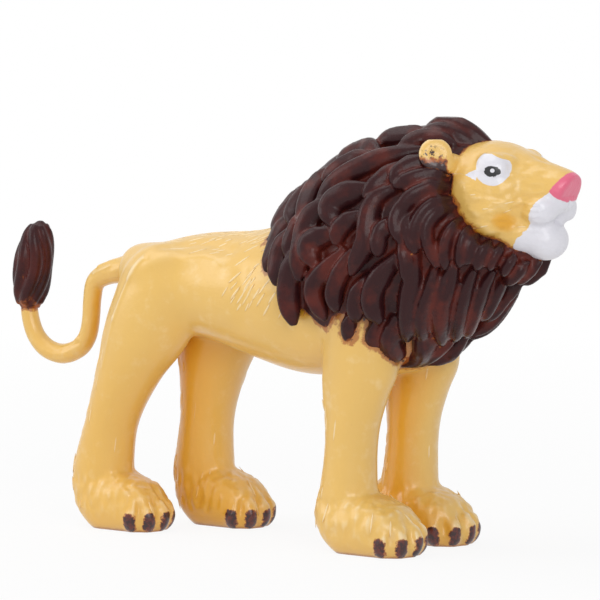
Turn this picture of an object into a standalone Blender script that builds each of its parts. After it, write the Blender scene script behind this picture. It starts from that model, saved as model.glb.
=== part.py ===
"""Toy lion figure, moulded in soft plastic: two hollow torso shells, four plug-in legs, a head with its
neck, a mane of thick locks that sleeves the neck, a tail, and the tuft that caps it.

Metres, +Z up, +X towards the nose, +Y to the lion's left. The places below are measured from a point on
the ground under the middle of the torso; at the end the whole figure is centred over the origin.
"""

import math
import random

import bmesh
import bpy
import numpy as np
from mathutils import Matrix, Vector
from mathutils.bvhtree import BVHTree
from mathutils.kdtree import KDTree

MM = 0.001

# Torso, from the rump to the front of the chest
torso_length = 73.0 * MM
torso_height = 29.0 * MM
torso_width = 29.0 * MM
torso_centre_height = 48.0 * MM
rump_x = -42.0 * MM
shell_wall = 3.4 * MM
seam_split_x = -6.0 * MM

# Legs: places of their centre lines, how far each heel stands behind them, thicknesses, and the height where
# each leg plugs into the torso
right_front_x = 16.0 * MM
left_front_x = 18.4 * MM
right_front_heel_back = 6.5 * MM
left_front_heel_back = 8.2 * MM
front_leg_y = 9.0 * MM
front_leg_radius = 5.5 * MM
front_seam_height = 31.5 * MM
right_hind_x = -41.2 * MM
left_hind_x = -28.0 * MM
right_hind_heel_back = 6.2 * MM
left_hind_heel_back = 5.7 * MM
hind_leg_y = 7.4 * MM
hind_leg_radius = 5.6 * MM
hind_seam_height = 34.4 * MM
right_thigh_lean = 10.2 * MM
left_thigh_lean = 3.5 * MM

# Paws
front_paw_length = 22.5 * MM
hind_paw_length = 21.0 * MM
front_paw_width = 14.0 * MM
hind_paw_width = 12.8 * MM
paw_height = 11.5 * MM
toe_radius = 2.6 * MM

# Head, its middle and its features
head_x = 41.5 * MM
head_height = 67.5 * MM
head_length = 23.0 * MM
head_width = 21.6 * MM
head_depth = 19.6 * MM
snout_length = 18.0 * MM
snout_width = 17.2 * MM
muzzle_radius = 3.4 * MM
chin_radius = 4.5 * MM
eye_radius = 3.7 * MM
ear_radius = 3.2 * MM
ear_spread = 12.2 * MM
left_ear_drop = 1.6 * MM
left_ear_set_back = 1.2 * MM
neck_radius = 10.2 * MM
neck_seam_x = 25.0 * MM
neck_seam_height = 55.0 * MM

# Mane, from the locks over the shoulders to the chin
mane_rear_x = -4.0 * MM
mane_length = 57.5 * MM
mane_base_height = 35.2 * MM
mane_height = 44.0 * MM
mane_width = 39.0 * MM
mane_rim_set_back = 7.5 * MM
mane_groove_depth = 0.9 * MM
lock_length = 15.0 * MM
lock_width = 4.4 * MM
lock_row_pitch = 6.0 * MM
lock_room = 3.0 * MM

# Tail and tuft
tail_radius = 1.85 * MM
tail_reach = 23.0 * MM
tail_drop = 16.9 * MM
tail_root_height = 49.6 * MM
tuft_length = 17.5 * MM
tuft_radius = 4.0 * MM
tuft_lean = 2.6 * MM

# Plugs, sockets and pins
joint_gap = 0.3 * MM
leg_plug_side = 5.0 * MM
leg_plug_length = 5.5 * MM
neck_plug_width = 9.0 * MM
neck_plug_height = 6.0 * MM
neck_plug_length = 9.0 * MM
tail_plug_length = 5.0 * MM
tail_foot_radius = 2.9 * MM
tail_foot_length = 1.6 * MM
tuft_socket_depth = 4.5 * MM
pin_radius = 0.9 * MM
pin_length = 2.4 * MM

# Fineness of the moulded skins, and how far a cutter runs past what it cuts
body_voxel = 0.9 * MM
head_voxel = 0.7 * MM
mane_voxel = 0.7 * MM
overrun = 120.0 * MM
BODY_TRIANGLES = 5000
HEAD_TRIANGLES = 1900
MANE_TRIANGLES = 6400

LINE_STEPS = 8
SEED = 7
SIDES = (-1, 1)
UP = Vector((0, 0, 1))
ALONG = Vector((1, 0, 0))
ACROSS = Vector((0, 1, 0))

YELLOW = (0.79, 0.47, 0.13)
BROWN = (0.045, 0.018, 0.014)
WHITE = (0.80, 0.78, 0.82)
PINK = (0.80, 0.14, 0.26)
BLACK = (0.015, 0.015, 0.017)


# Scene helpers


def clear_scene():
    for old in list(bpy.data.objects):
        bpy.data.objects.remove(old)


def fresh_collection(name):
    made = bpy.data.collections.new(name)
    bpy.context.scene.collection.children.link(made)
    return made


def paint(name, colour, roughness):
    material = bpy.data.materials.new(name)
    material.use_nodes = True
    shader = material.node_tree.nodes["Principled BSDF"]
    shader.inputs["Base Color"].default_value = (*colour, 1.0)
    shader.inputs["Roughness"].default_value = roughness
    shader.inputs["Metallic"].default_value = 0.0
    return material


def guide(name, bm):
    """Links a mesh as a hidden guide; pieces and cutters both start this way."""
    bmesh.ops.recalc_face_normals(bm, faces=bm.faces)
    mesh = bpy.data.meshes.new(name)
    bm.to_mesh(mesh)
    bm.free()
    obj = bpy.data.objects.new(name, mesh)
    obj.display_type = "WIRE"
    obj.hide_render = True
    guides.objects.link(obj)
    return obj


def baked(obj):
    """Applies the object's modifiers to its mesh."""
    depsgraph = bpy.context.evaluated_depsgraph_get()
    mesh = bpy.data.meshes.new_from_object(obj.evaluated_get(depsgraph))
    obj.modifiers.clear()
    obj.data = mesh
    return obj


def boolean(obj, cutter, operation):
    step = obj.modifiers.new(operation.lower(), "BOOLEAN")
    step.object = cutter
    step.operation = operation
    step.solver = "EXACT"
    return baked(obj)


def copy_of(obj, name):
    made = obj.copy()
    made.data = obj.data.copy()
    made.name = name
    guides.objects.link(made)
    return made


def swollen(obj, by):
    """A cutter that stands off an object's skin by a gap."""
    made = copy_of(obj, obj.name + "_clearance")
    push = made.modifiers.new("clearance", "DISPLACE")
    push.strength = by
    push.mid_level = 0.0
    return baked(made)


def largest_body(obj):
    """Keeps only the biggest of the loose bodies that a cut may leave."""
    bm = bmesh.new()
    bm.from_mesh(obj.data)
    left = set(bm.faces)
    bodies = []
    while left:
        reached = {left.pop()}
        edge_of_reach = list(reached)
        while edge_of_reach:
            face = edge_of_reach.pop()
            for edge in face.edges:
                for other in edge.link_faces:
                    if other not in reached:
                        reached.add(other)
                        edge_of_reach.append(other)
        left -= reached
        bodies.append(reached)
    bodies.sort(key=len)
    for body in bodies[:-1]:
        bmesh.ops.delete(bm, geom=list(body), context="FACES")
    bmesh.ops.delete(bm, geom=[v for v in bm.verts if not v.link_faces], context="VERTS")
    bm.to_mesh(obj.data)
    bm.free()
    return obj


# Forms


def ellipsoid(centre, radii, turn=Matrix.Identity(4)):
    bm = bmesh.new()
    bmesh.ops.create_uvsphere(bm, u_segments=24, v_segments=14, radius=1.0)
    place = Matrix.Translation(centre) @ turn @ Matrix.Diagonal((*radii, 1.0))
    bmesh.ops.transform(bm, matrix=place, verts=bm.verts)
    return guide("form", bm)


def block(name, centre, size, turn=Matrix.Identity(4)):
    """A box with its size given along its own axes."""
    bm = bmesh.new()
    bmesh.ops.create_cube(bm, size=1.0)
    place = Matrix.Translation(centre) @ turn @ Matrix.Diagonal((*size, 1.0))
    bmesh.ops.transform(bm, matrix=place, verts=bm.verts)
    return guide(name, bm)


def rod(name, centre, radius, length, turn):
    """A round rod, its own Z turned to where it points."""
    bm = bmesh.new()
    bmesh.ops.create_cone(
        bm, cap_ends=True, segments=16, radius1=radius, radius2=radius, depth=length
    )
    bmesh.ops.transform(bm, matrix=Matrix.Translation(centre) @ turn, verts=bm.verts)
    return guide(name, bm)


def pointing(direction):
    """Turns an object's own Z to a direction."""
    return direction.to_track_quat("Z", "Y").to_matrix().to_4x4()


def half_space(name, point, normal):
    """A block that fills everything on one side of a plane."""
    centre = point + 0.5 * overrun * normal
    return block(name, centre, (2 * overrun, 2 * overrun, overrun), pointing(normal))


def corner_block(name, low, high):
    low, high = Vector(low), Vector(high)
    return block(name, (low + high) / 2, high - low)


def eased(rows, steps):
    """More rows along a smooth curve through a table's rows."""
    rows = np.array(rows, float)
    padded = np.vstack((2 * rows[0] - rows[1], rows, 2 * rows[-1] - rows[-2]))
    made = []
    for p0, p1, p2, p3 in zip(padded, padded[1:], padded[2:], padded[3:]):
        for step in range(steps):
            t = step / steps
            slope = (p2 - p0) * t + (2 * p0 - 5 * p1 + 4 * p2 - p3) * t**2
            made.append(p1 + 0.5 * (slope + (3 * p1 - p0 - 3 * p2 + p3) * t**3))
    return [tuple(row) for row in made] + [tuple(rows[-1])]


def spaced(points, count):
    """Points spaced evenly along a smooth line through a few places."""
    fine = [Vector(point) for point in eased(points, LINE_STEPS)]
    reach = [0.0]
    for a, b in zip(fine, fine[1:]):
        reach.append(reach[-1] + (b - a).length)
    made = []
    index = 0
    for step in range(count):
        want = reach[-1] * step / (count - 1)
        while index < len(fine) - 2 and reach[index + 1] < want:
            index += 1
        part = (want - reach[index]) / (reach[index + 1] - reach[index])
        made.append(fine[index].lerp(fine[index + 1], min(1.0, part)))
    return made


def loft(sections, around=28, squareness=1.0, ridges=0, ridge_share=0.0):
    """A closed skin through rings, each a centre, two half-axes and a shift of its two sides.

    Squareness below 1 fills the ring's corners; ridges run lengthwise over it.
    """
    bm = bmesh.new()
    rings = []
    for centre, half_u, half_v, *bow in sections:
        ring = []
        for step in range(around):
            angle = math.tau * step / around
            swell = 1.0 + ridge_share * math.cos(ridges * angle)
            c = math.copysign(abs(math.cos(angle)) ** squareness, math.cos(angle))
            s = math.copysign(abs(math.sin(angle)) ** squareness, math.sin(angle))
            place = centre + swell * (half_u * c + half_v * s)
            for shift in bow:
                place = place + shift * c * c
            ring.append(bm.verts.new(place))
        rings.append(ring)
    for low, high in zip(rings, rings[1:]):
        for step in range(around):
            after = (step + 1) % around
            bm.faces.new((low[step], low[after], high[after], high[step]))
    bm.faces.new(rings[0])
    bm.faces.new(rings[-1])
    return guide("form", bm)


def moulded(name, forms, voxel, passes, triangles):
    """Fuses overlapping closed forms into one skin, softens its creases and thins its faces."""
    bm = bmesh.new()
    for form in forms:
        bm.from_mesh(form.data)
        bpy.data.objects.remove(form)
    obj = guide(name, bm)
    remesh = obj.modifiers.new("skin", "REMESH")
    remesh.mode = "VOXEL"
    remesh.voxel_size = voxel
    soften = obj.modifiers.new("soften", "SMOOTH")
    soften.factor = 0.5
    soften.iterations = passes
    baked(obj)
    thin = obj.modifiers.new("thin", "DECIMATE")
    thin.ratio = min(1.0, triangles / (2 * len(obj.data.polygons)))
    return largest_body(baked(obj))


# Torso


# Each row: place along the length, rise of the middle, half height, half width
TORSO_SHARES = (
    (0.000, 0.045, 0.085, 0.08),
    (0.018, 0.045, 0.165, 0.15),
    (0.060, 0.025, 0.225, 0.24),
    (0.130, 0.000, 0.258, 0.34),
    (0.220, -0.008, 0.322, 0.40),
    (0.320, -0.020, 0.365, 0.42),
    (0.430, -0.050, 0.415, 0.44),
    (0.580, -0.055, 0.500, 0.48),
    (0.720, -0.030, 0.525, 0.50),
    (0.850, -0.020, 0.515, 0.49),
    (0.930, -0.03, 0.455, 0.42),
    (0.985, -0.06, 0.340, 0.30),
    (1.000, -0.07, 0.180, 0.16),
)
CAVITY_ROWS = slice(3, 9)


def torso_sections(rows, inset):
    made = []
    for along, rise, half_height, half_width in rows:
        height = torso_centre_height + rise * torso_height
        centre = Vector((rump_x + along * torso_length, 0, height))
        half_u = ACROSS * (half_width * torso_width - inset)
        half_v = UP * (half_height * torso_height - inset)
        made.append((centre, half_u, half_v))
    return made


# Legs and paws


# Each row: height as a share of the seam height, forward shift, and half thickness along and across the
# figure, in leg radii
FRONT_LEG_SHARES = (
    (1.45, 0.50, 1.25, 1.20),
    (1.20, 0.45, 1.32, 1.17),
    (1.06, 0.40, 1.32, 1.10),
    (0.93, 0.24, 1.13, 1.05),
    (0.76, 0.10, 0.93, 1.00),
    (0.60, 0.03, 0.87, 0.98),
    (0.42, -0.05, 0.96, 1.00),
    (0.32, -0.08, 1.02, 1.04),
    (0.22, -0.08, 0.98, 1.00),
    (0.12, 0.00, 0.82, 0.85),
    (0.05, 0.05, 0.60, 0.62),
)
# The same for a hind leg, which fans out into its haunch; the forward shift is a share of the thigh's lean
HIND_LEG_SHARES = (
    (1.63, 1.40, 0.30, 0.24),
    (1.60, 1.37, 0.88, 0.70),
    (1.49, 1.27, 1.38, 1.07),
    (1.37, 1.25, 1.62, 1.25),
    (1.22, 1.10, 1.74, 1.32),
    (1.10, 0.95, 1.67, 1.30),
    (0.99, 0.78, 1.47, 1.23),
    (0.86, 0.52, 1.20, 1.14),
    (0.70, 0.27, 0.98, 1.05),
    (0.57, 0.10, 0.93, 1.00),
    (0.45, 0.00, 1.00, 0.98),
    (0.33, -0.07, 1.09, 1.00),
    (0.22, -0.06, 1.05, 0.98),
    (0.12, 0.00, 0.85, 0.85),
    (0.05, 0.05, 0.62, 0.62),
)
FRONT_PLUG_SHARE = 0.32
HIND_PLUG_SHARE = 0.78
PLUG_ROOT_SHARE = 0.25
# Each row: place along the paw from the heel, half width, and top and bottom as shares of the paw's height
PAW_SHARES = (
    (0.00, 0.10, 0.80, 0.62),
    (0.03, 0.24, 0.92, 0.40),
    (0.10, 0.37, 1.00, 0.18),
    (0.20, 0.44, 1.04, 0.00),
    (0.30, 0.47, 1.04, -0.10),
    (0.45, 0.49, 1.00, -0.10),
    (0.62, 0.50, 0.90, -0.10),
    (0.76, 0.46, 0.79, -0.10),
    (0.85, 0.36, 0.66, -0.10),
    (0.89, 0.22, 0.50, -0.10),
)
PAW_SQUARENESS = 0.8
# The toes stand on an arc around a point under the paw
PAW_ARC_SHARE = 0.686
TOE_REACH_SHARE = 0.62
TOE_TURNS = tuple(math.radians(turn) for turn in (-78, -40, -4, 30))
TOE_SHAPE_SHARES = Vector((1.06, 0.86, 1.30))
TOE_RISE_SHARE = 1.15


class Limb:
    """One leg: its middle, its seam with the torso, its plug and its paw."""

    def __init__(self, name, side, front, x, heel_back, lean):
        self.name = name
        self.side = side
        self.front = front
        self.x = x
        self.lean = lean
        self.y = side * (front_leg_y if front else hind_leg_y)
        self.radius = front_leg_radius if front else hind_leg_radius
        self.seam = front_seam_height if front else hind_seam_height
        self.paw_length = front_paw_length if front else hind_paw_length
        self.paw_width = front_paw_width if front else hind_paw_width
        self.heel_x = x - heel_back
        plug_shift = (FRONT_PLUG_SHARE if front else HIND_PLUG_SHARE) * lean
        self.plug = Vector((x + plug_shift, self.y, self.seam))


def limbs():
    lean = front_leg_radius
    return (
        Limb("right_front_leg", -1, True, right_front_x, right_front_heel_back, lean),
        Limb("left_front_leg", 1, True, left_front_x, left_front_heel_back, lean),
        Limb("right_hind_leg", -1, False, right_hind_x, right_hind_heel_back, right_thigh_lean),
        Limb("left_hind_leg", 1, False, left_hind_x, left_hind_heel_back, left_thigh_lean),
    )


def leg(limb):
    sections = []
    for height, forward, along, across in FRONT_LEG_SHARES if limb.front else HIND_LEG_SHARES:
        centre = Vector((limb.x + forward * limb.lean, limb.y, height * limb.seam))
        sections.append((centre, ALONG * (along * limb.radius), ACROSS * (across * limb.radius)))
    return loft(sections)


def paw(limb):
    """A rounded paw with its four toes, still without its flat sole."""
    sections = []
    for along, half_width, top, bottom in PAW_SHARES:
        half_height = (top - bottom) / 2 * paw_height
        height = bottom * paw_height + half_height
        centre = Vector((limb.heel_x + along * limb.paw_length, limb.y, height))
        sections.append((centre, ACROSS * (half_width * limb.paw_width), UP * half_height))
    forms = [loft(sections, squareness=PAW_SQUARENESS)]
    arc = Vector((limb.heel_x + PAW_ARC_SHARE * limb.paw_length, limb.y, TOE_RISE_SHARE * toe_radius))
    for turn in TOE_TURNS:
        way = Vector((math.cos(turn), math.sin(turn), 0))
        centre = arc + way * (TOE_REACH_SHARE * limb.paw_width / 2)
        radii = toe_radius * TOE_SHAPE_SHARES
        forms.append(ellipsoid(centre, radii, Matrix.Rotation(turn, 4, "Z")))
    return forms


def body_skin():
    """Torso, haunches, legs and paws as one moulded shape, before it is parted into pieces."""
    forms = [loft(torso_sections(TORSO_SHARES, 0.0))]
    for limb in limbs():
        forms += [leg(limb), *paw(limb)]
    skin = moulded("body_skin", forms, body_voxel, 5, BODY_TRIANGLES)
    return boolean(skin, half_space("under_the_soles", Vector(), -UP), "DIFFERENCE")


def limb_space(limb, top):
    """Everything in one leg's quarter of the figure, up to a height."""
    end_x = overrun if limb.front else -overrun
    low = (min(seam_split_x, end_x), min(0.0, limb.side * overrun), -overrun)
    high = (max(seam_split_x, end_x), max(0.0, limb.side * overrun), top)
    return corner_block("space_of_" + limb.name, low, high)


def leg_plug(limb, clearance):
    """The square post on top of a leg, or its socket when given a clearance."""
    side = leg_plug_side + 2 * clearance
    rooted = PLUG_ROOT_SHARE * leg_plug_length
    length = leg_plug_length + clearance
    centre = limb.plug + UP * ((length - rooted) / 2)
    return block("plug_of_" + limb.name, centre, (side, side, length + rooted))


def make_leg(limb, skin):
    made = copy_of(skin, limb.name)
    boolean(made, limb_space(limb, limb.seam - joint_gap / 2), "INTERSECT")
    return largest_body(boolean(made, leg_plug(limb, 0.0), "UNION"))


# Head


# Each row: forward from the middle of the head, rise, half height and half width of the snout
SNOUT_SHARES = (
    (0.14, 0.08, 0.410, 0.50),
    (0.42, 0.06, 0.340, 0.40),
    (0.64, 0.04, 0.275, 0.325),
    (0.84, 0.055, 0.205, 0.245),
    (0.93, 0.074, 0.150, 0.195),
    (0.985, 0.112, 0.077, 0.130),
)
# Each row: a soft form of the face, its place and its radii in head lengths, widths and depths
FACE_SHARES = (
    ((0.000, 0.00, 0.000), (0.500, 0.500, 0.500)),
    ((0.220, 0.00, -0.330), (0.350, 0.340, 0.280)),
)
# The same for forms that come in pairs, one on each side
FACE_PAIR_SHARES = (
    ((0.065, 0.270, -0.130), (0.305, 0.225, 0.310)),
    ((0.150, 0.210, 0.300), (0.185, 0.130, 0.110)),
    ((0.145, 0.310, 0.235), (0.165, 0.120, 0.175)),
)
MUZZLE_PLACE_SHARES = Vector((0.525, 0.165, -0.130))
MUZZLE_SHAPE_SHARES = Vector((1.00, 0.95, 0.90))
CHIN_PLACE_SHARES = Vector((0.480, 0.0, -0.415))
CHIN_SHAPE_SHARES = Vector((1.00, 1.04, 0.88))
EAR_PLACE_SHARES = Vector((-0.225, 0.0, 0.385))
EAR_FACING = Vector((0.62, 0.74, 0.24)).normalized()
EAR_SHAPE_SHARES = Vector((1.0, 1.0, 0.36))
EAR_ROOT_SHARE = 0.25
EAR_ROOT_SHAPE_SHARES = Vector((0.6, 1.3, 0.9))
EAR_DISH_SHARE = 0.72
EAR_DISH_SHAPE_SHARES = Vector((0.74, 0.74, 0.56))
EAR_BAY_SHAPE_SHARES = Vector((1.15, 1.15, 1.0))


def face_place(shares, side=1):
    x, y, z = shares
    return Vector(
        (head_x + x * head_length, side * y * head_width, head_height + z * head_depth)
    )


def face_radii(shares):
    x, y, z = shares
    return Vector((x * head_length, y * head_width, z * head_depth))


def ear_frame(side):
    """Place and facing of an ear's flat side."""
    centre = face_place(EAR_PLACE_SHARES) + ACROSS * (side * ear_spread)
    if side > 0:
        centre -= UP * left_ear_drop + ALONG * left_ear_set_back
    facing = Vector((EAR_FACING.x, side * EAR_FACING.y, EAR_FACING.z))
    return centre, facing


def neck_frame():
    """Middle of the neck's flat seam with the torso, and the direction up the neck."""
    foot = Vector((neck_seam_x, 0, neck_seam_height))
    return foot, (Vector((head_x, 0, head_height)) - foot).normalized()


# Each row: place from the seam, outside it first, up to the skull, and thickness in neck radii
NECK_SHARES = ((-0.30, 0.88), (0.10, 0.90), (0.45, 0.96), (0.80, 1.00), (1.00, 0.98))


def neck():
    foot, up_neck = neck_frame()
    reach = (Vector((head_x, 0, head_height)) - foot).length
    in_plane = up_neck.cross(ACROSS)
    sections = []
    for along, thickness in NECK_SHARES:
        radius = thickness * neck_radius
        centre = foot + up_neck * (along * reach)
        sections.append((centre, ACROSS * radius, in_plane * radius))
    return loft(sections)


def neck_plug(clearance):
    """The flat tenon under the neck, or its socket when given a clearance."""
    foot, up_neck = neck_frame()
    low = neck_plug_length + clearance
    high = neck_plug_height / 2
    size = Vector((neck_plug_height, neck_plug_width, 0.0))
    size += Vector((2 * clearance, 2 * clearance, low + high))
    turn = Matrix((up_neck.cross(-ACROSS), ACROSS, up_neck)).transposed().to_4x4()
    return block("neck_plug", foot + up_neck * ((high - low) / 2), size, turn)


def make_head():
    forms = [neck()]
    sections = []
    for forward, rise, half_height, half_width in SNOUT_SHARES:
        centre = Vector(
            (head_x + forward * snout_length, 0, head_height + rise * head_depth)
        )
        half_u = ACROSS * (half_width * snout_width)
        sections.append((centre, half_u, UP * (half_height * head_depth)))
    forms.append(loft(sections))
    for place, radii in FACE_SHARES:
        forms.append(ellipsoid(face_place(place), face_radii(radii)))
    forms.append(ellipsoid(face_place(CHIN_PLACE_SHARES), chin_radius * CHIN_SHAPE_SHARES))
    for side in SIDES:
        for place, radii in FACE_PAIR_SHARES:
            forms.append(ellipsoid(face_place(place, side), face_radii(radii)))
        pad = face_place(MUZZLE_PLACE_SHARES, side)
        forms.append(ellipsoid(pad, muzzle_radius * MUZZLE_SHAPE_SHARES))
        centre, facing = ear_frame(side)
        forms.append(ellipsoid(centre, ear_radius * EAR_SHAPE_SHARES, pointing(facing)))
        root = centre.lerp(Vector((head_x, 0, head_height)), EAR_ROOT_SHARE)
        forms.append(ellipsoid(root, ear_radius * EAR_ROOT_SHAPE_SHARES))
    head = moulded("head", forms, head_voxel, 3, HEAD_TRIANGLES)
    foot, up_neck = neck_frame()
    seam = foot + up_neck * (joint_gap / 2)
    boolean(head, half_space("below_the_neck", seam, -up_neck), "DIFFERENCE")
    for side in SIDES:
        centre, facing = ear_frame(side)
        dish = centre + facing * (EAR_DISH_SHARE * ear_radius)
        radii = ear_radius * EAR_DISH_SHAPE_SHARES
        boolean(head, ellipsoid(dish, radii, pointing(facing)), "DIFFERENCE")
    return largest_body(boolean(head, neck_plug(0.0), "UNION"))


# Mane


# Each row runs from the top of the mane to its underside: top along and up, bottom along and up, half width,
# and how far the sides are set back
MANE_SHARES = (
    (-0.100, 0.330, 0.300, -0.060, 0.400, 0.0),
    (0.015, 0.500, 0.430, 0.000, 0.430, 0.0),
    (0.060, 0.630, 0.525, 0.025, 0.465, 0.0),
    (0.175, 0.795, 0.640, 0.075, 0.490, 0.0),
    (0.370, 0.935, 0.745, 0.185, 0.490, 0.10),
    (0.570, 0.990, 0.835, 0.320, 0.440, 0.35),
    (0.700, 0.985, 0.935, 0.405, 0.370, 0.70),
    (0.760, 0.950, 0.995, 0.450, 0.295, 1.00),
)
# The big locks, drawn on the lion's right and mirrored on its left. Each row: the lock's width in hundredths
# of the mane's width, then the places it runs through, in hundredths of the mane's length and height as seen
# from the side, with the place across as well where the mane faces forwards
GRID = 100
LOCK_SHARES = (
    (10, (46, 91), (36, 91), (25, 84)),
    (9, (46, 90), (37, 87), (26, 77)),
    (10, (62, 94), (47, 87), (35, 78), (29, 69)),
    (9, (34, 84), (23, 79), (22, 72), (25, 57)),
    (9, (27, 81), (18, 73), (15, 65), (17, 59)),
    (9, (22, 68), (21, 59), (19, 45)),
    (11, (38, 74), (27, 63), (26, 52), (25, 36)),
    (12, (50, 78), (39, 72), (36, 67), (39, 60)),
    (9, (49, 67), (42, 60), (40, 52)),
    (11, (40, 58), (31, 54), (29, 50), (32, 43)),
    (8, (58, 88), (53, 79), (49, 72)),
    (10, (60, 78), (53, 72), (52, 62), (52, 55), (46, 40)),
    (9, (43, 51), (36, 42), (31, 33), (34, 20)),
    (9, (46, 51), (42, 41), (39, 32), (39, 24)),
    (7, (32, 44), (30, 36), (30, 25)),
    (9, (52, 40), (47, 31), (45, 20)),
    (8, (44, 24), (41, 16), (42, 10)),
    (11, (63, 50), (55, 38), (52, 29), (53, 20)),
    (9, (66, 90), (61, 85), (58, 78)),
    (9, (70, 73), (64, 70), (62, 63), (64, 54)),
    (8, (61, 65), (57, 59), (56, 48)),
    (9, (52, 21), (48, 12), (49, 5)),
    (11, (58, 22), (53, 12), (51, 4)),
    (10, (61, 101, 9), (50, 99, 9), (39, 95, 11)),
    (8, (73, 96, 17), (66, 100, 17), (59, 100, 18), (54, 95, 28)),
    (9, (70, 87), (66, 87), (62, 85), (58, 80)),
    (9, (75, 82), (67, 81), (59, 77)),
    (9, (75, 77), (71, 77), (65, 72), (62, 65)),
    (8, (76, 73), (71, 69), (68, 61), (67, 51)),
    (7, (77, 70), (73, 66), (71, 58), (73, 44)),
    (7, (79, 65), (78, 62), (76, 54), (75, 43)),
    (7, (82, 62), (81, 58), (80, 50), (79, 44)),
    (7, (85, 59, 26), (83, 54, 30), (82, 44, 32)),
    (7, (88, 56, 23), (86, 50, 27), (85, 40, 30)),
    (6, (91, 55, 19), (89, 48, 23), (88, 40, 25)),
    (7, (94, 51, 14), (92, 45, 17), (91, 36, 18)),
    (8, (96, 47, 10), (94, 39, 11), (90, 30, 11)),
    (7, (99, 45, 4), (96, 38, 4), (92, 29, 3)),
    (10, (68, 50), (66, 39), (63, 28), (58, 12)),
    (9, (73, 45), (70, 34), (66, 24), (62, 12)),
    (9, (76, 42), (73, 34), (70, 24), (65, 10)),
    (9, (80, 44, 36), (78, 36, 33), (74, 25, 30), (69, 10, 18)),
    (10, (86, 40, 31), (82, 30, 27), (77, 19, 20), (70, 8, 9)),
    (10, (90, 37, 22), (87, 27, 19), (80, 16, 12), (73, 8, 4)),
    (9, (92, 33, 11), (88, 24, 8), (81, 14, 3)),
    (8, (65, 68), (66, 59), (68, 50)),
    (8, (63, 57), (65, 47), (64, 38)),
)
# The forelock's strands, each its width and its places as above, with the place across
FORELOCK_SHARES = (
    (19, (52, 96, 0), (58, 100, 0), (63, 102, 0), (69, 100, 0), (74, 97, 0), (80, 93, 0)),
    (14, (54, 97, 9), (61, 100, 8), (68, 98, 6), (76, 93, 4)),
    (14, (54, 97, -9), (61, 100, -8), (68, 98, -6), (76, 93, -4)),
)
LOCK_POINTS = 9
LOCK_SIDE_COUNT = 8
DRAPE_SIDE_COUNT = 48
DRAPE_STEPS = 3
LOCK_PITCH_SHARE = 1.1
LOCK_WANDER_SHARE = 0.3
LOCK_ROOT_SHARE = 0.45
LOCK_ROOT_END_SHARE = 0.35
LOCK_TIP_SHARE = 0.30
LOCK_TIP_START_SHARE = 0.62
LOCK_SINK_SHARE = 0.26
LOCK_LIFT_SHARE = 0.30
LOCK_JITTER_SHARE = 0.02
LOCK_LENGTH_SHARES = (0.8, 1.15)
LOCK_WIDTH_SHARES = (0.8, 1.15)
LOCK_BEND_SHARES = (0.15, 0.45)
FORELOCK_SINK_SHARE = 0.6
FORELOCK_TAPER_SHARE = 0.55
# A lock that starts nearer than this to the middle isn't mirrored
MIRROR_SHARE = 6
FALL_SHARE = 0.55
CROWN_FALL_SHARE = 0.12
SIDE_FALL_SHARE = 0.92
BACKWARD = Vector((-0.80, 0, -0.45))


def mane_sections(rows, inset):
    made = []
    for top_x, top_z, bottom_x, bottom_z, half_width, set_back in rows:
        top = Vector(
            (mane_rear_x + top_x * mane_length, 0, mane_base_height + top_z * mane_height)
        )
        bottom = Vector(
            (mane_rear_x + bottom_x * mane_length, 0, mane_base_height + bottom_z * mane_height)
        )
        half_v = (top - bottom) / 2
        half_v -= half_v.normalized() * inset
        half_u = ACROSS * (half_width * mane_width - inset)
        bow = -ALONG * (set_back * mane_rim_set_back)
        made.append(((top + bottom) / 2, half_u, half_v, bow))
    return made


def mane_place(along, up, across, side):
    """A place in the mane's box from hundredths of its length, height and width."""
    x = mane_rear_x + along / GRID * mane_length
    return Vector((x, side * across / GRID * mane_width, mane_base_height + up / GRID * mane_height))


def place_on_mane(surface, spot, side):
    """A spot of the lock table on the mane's skin: straight across from its side, where it has no depth."""
    if len(spot) > 2:
        return surface.find_nearest(mane_place(*spot, side))[0]
    beside = mane_place(*spot, GRID, side)
    found = surface.ray_cast(beside, -side * ACROSS)[0]
    return found or surface.find_nearest(mane_place(*spot, GRID / 4, side))[0]


def flow_at(place, normal):
    """The way the hair lies: backwards on the crown, more and more downwards lower on the mane."""
    crown = mane_base_height + mane_height
    fall = min(1.0, max(0.0, (crown - place.z) / (FALL_SHARE * mane_height)))
    wish = BACKWARD.lerp(-UP, CROWN_FALL_SHARE + (SIDE_FALL_SHARE - CROWN_FALL_SHARE) * fall)
    return (wish - normal * wish.dot(normal)).normalized()


def combed(surface, start, length, bend):
    """Points of a filling lock that follows the lie of the hair from its start."""
    points = []
    place, normal, _, _ = surface.find_nearest(start)
    for step in range(LOCK_POINTS):
        points.append(place)
        flow = flow_at(place, normal)
        side = flow.cross(normal).normalized()
        turned = flow + side * (bend * math.sin(math.tau * step / (LOCK_POINTS - 1)))
        place, normal, _, _ = surface.find_nearest(place + turned * (length / (LOCK_POINTS - 1)))
    return points


def lock_girth(along):
    """A lock's thickness along its length, 1 at its fullest: quick to swell, with a blunt tip."""
    rise = min(1.0, LOCK_ROOT_SHARE + (1 - LOCK_ROOT_SHARE) * along / LOCK_ROOT_END_SHARE)
    fall = max(0.0, (along - LOCK_TIP_START_SHARE) / (1 - LOCK_TIP_START_SHARE))
    return rise * math.sqrt(max(LOCK_TIP_SHARE**2, 1 - fall**2 * (1 - LOCK_TIP_SHARE**2)))


def strand(places, normals, girths):
    """A round strand through places, its rings set across its way."""
    sections = []
    last = len(places) - 1
    for index, (place, normal, girth) in enumerate(zip(places, normals, girths)):
        way = places[min(index + 1, last)] - places[max(index - 1, 0)]
        side = way.cross(normal).normalized()
        sections.append((place, side * girth, side.cross(way).normalized() * girth))
    return loft(sections, around=LOCK_SIDE_COUNT)


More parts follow.
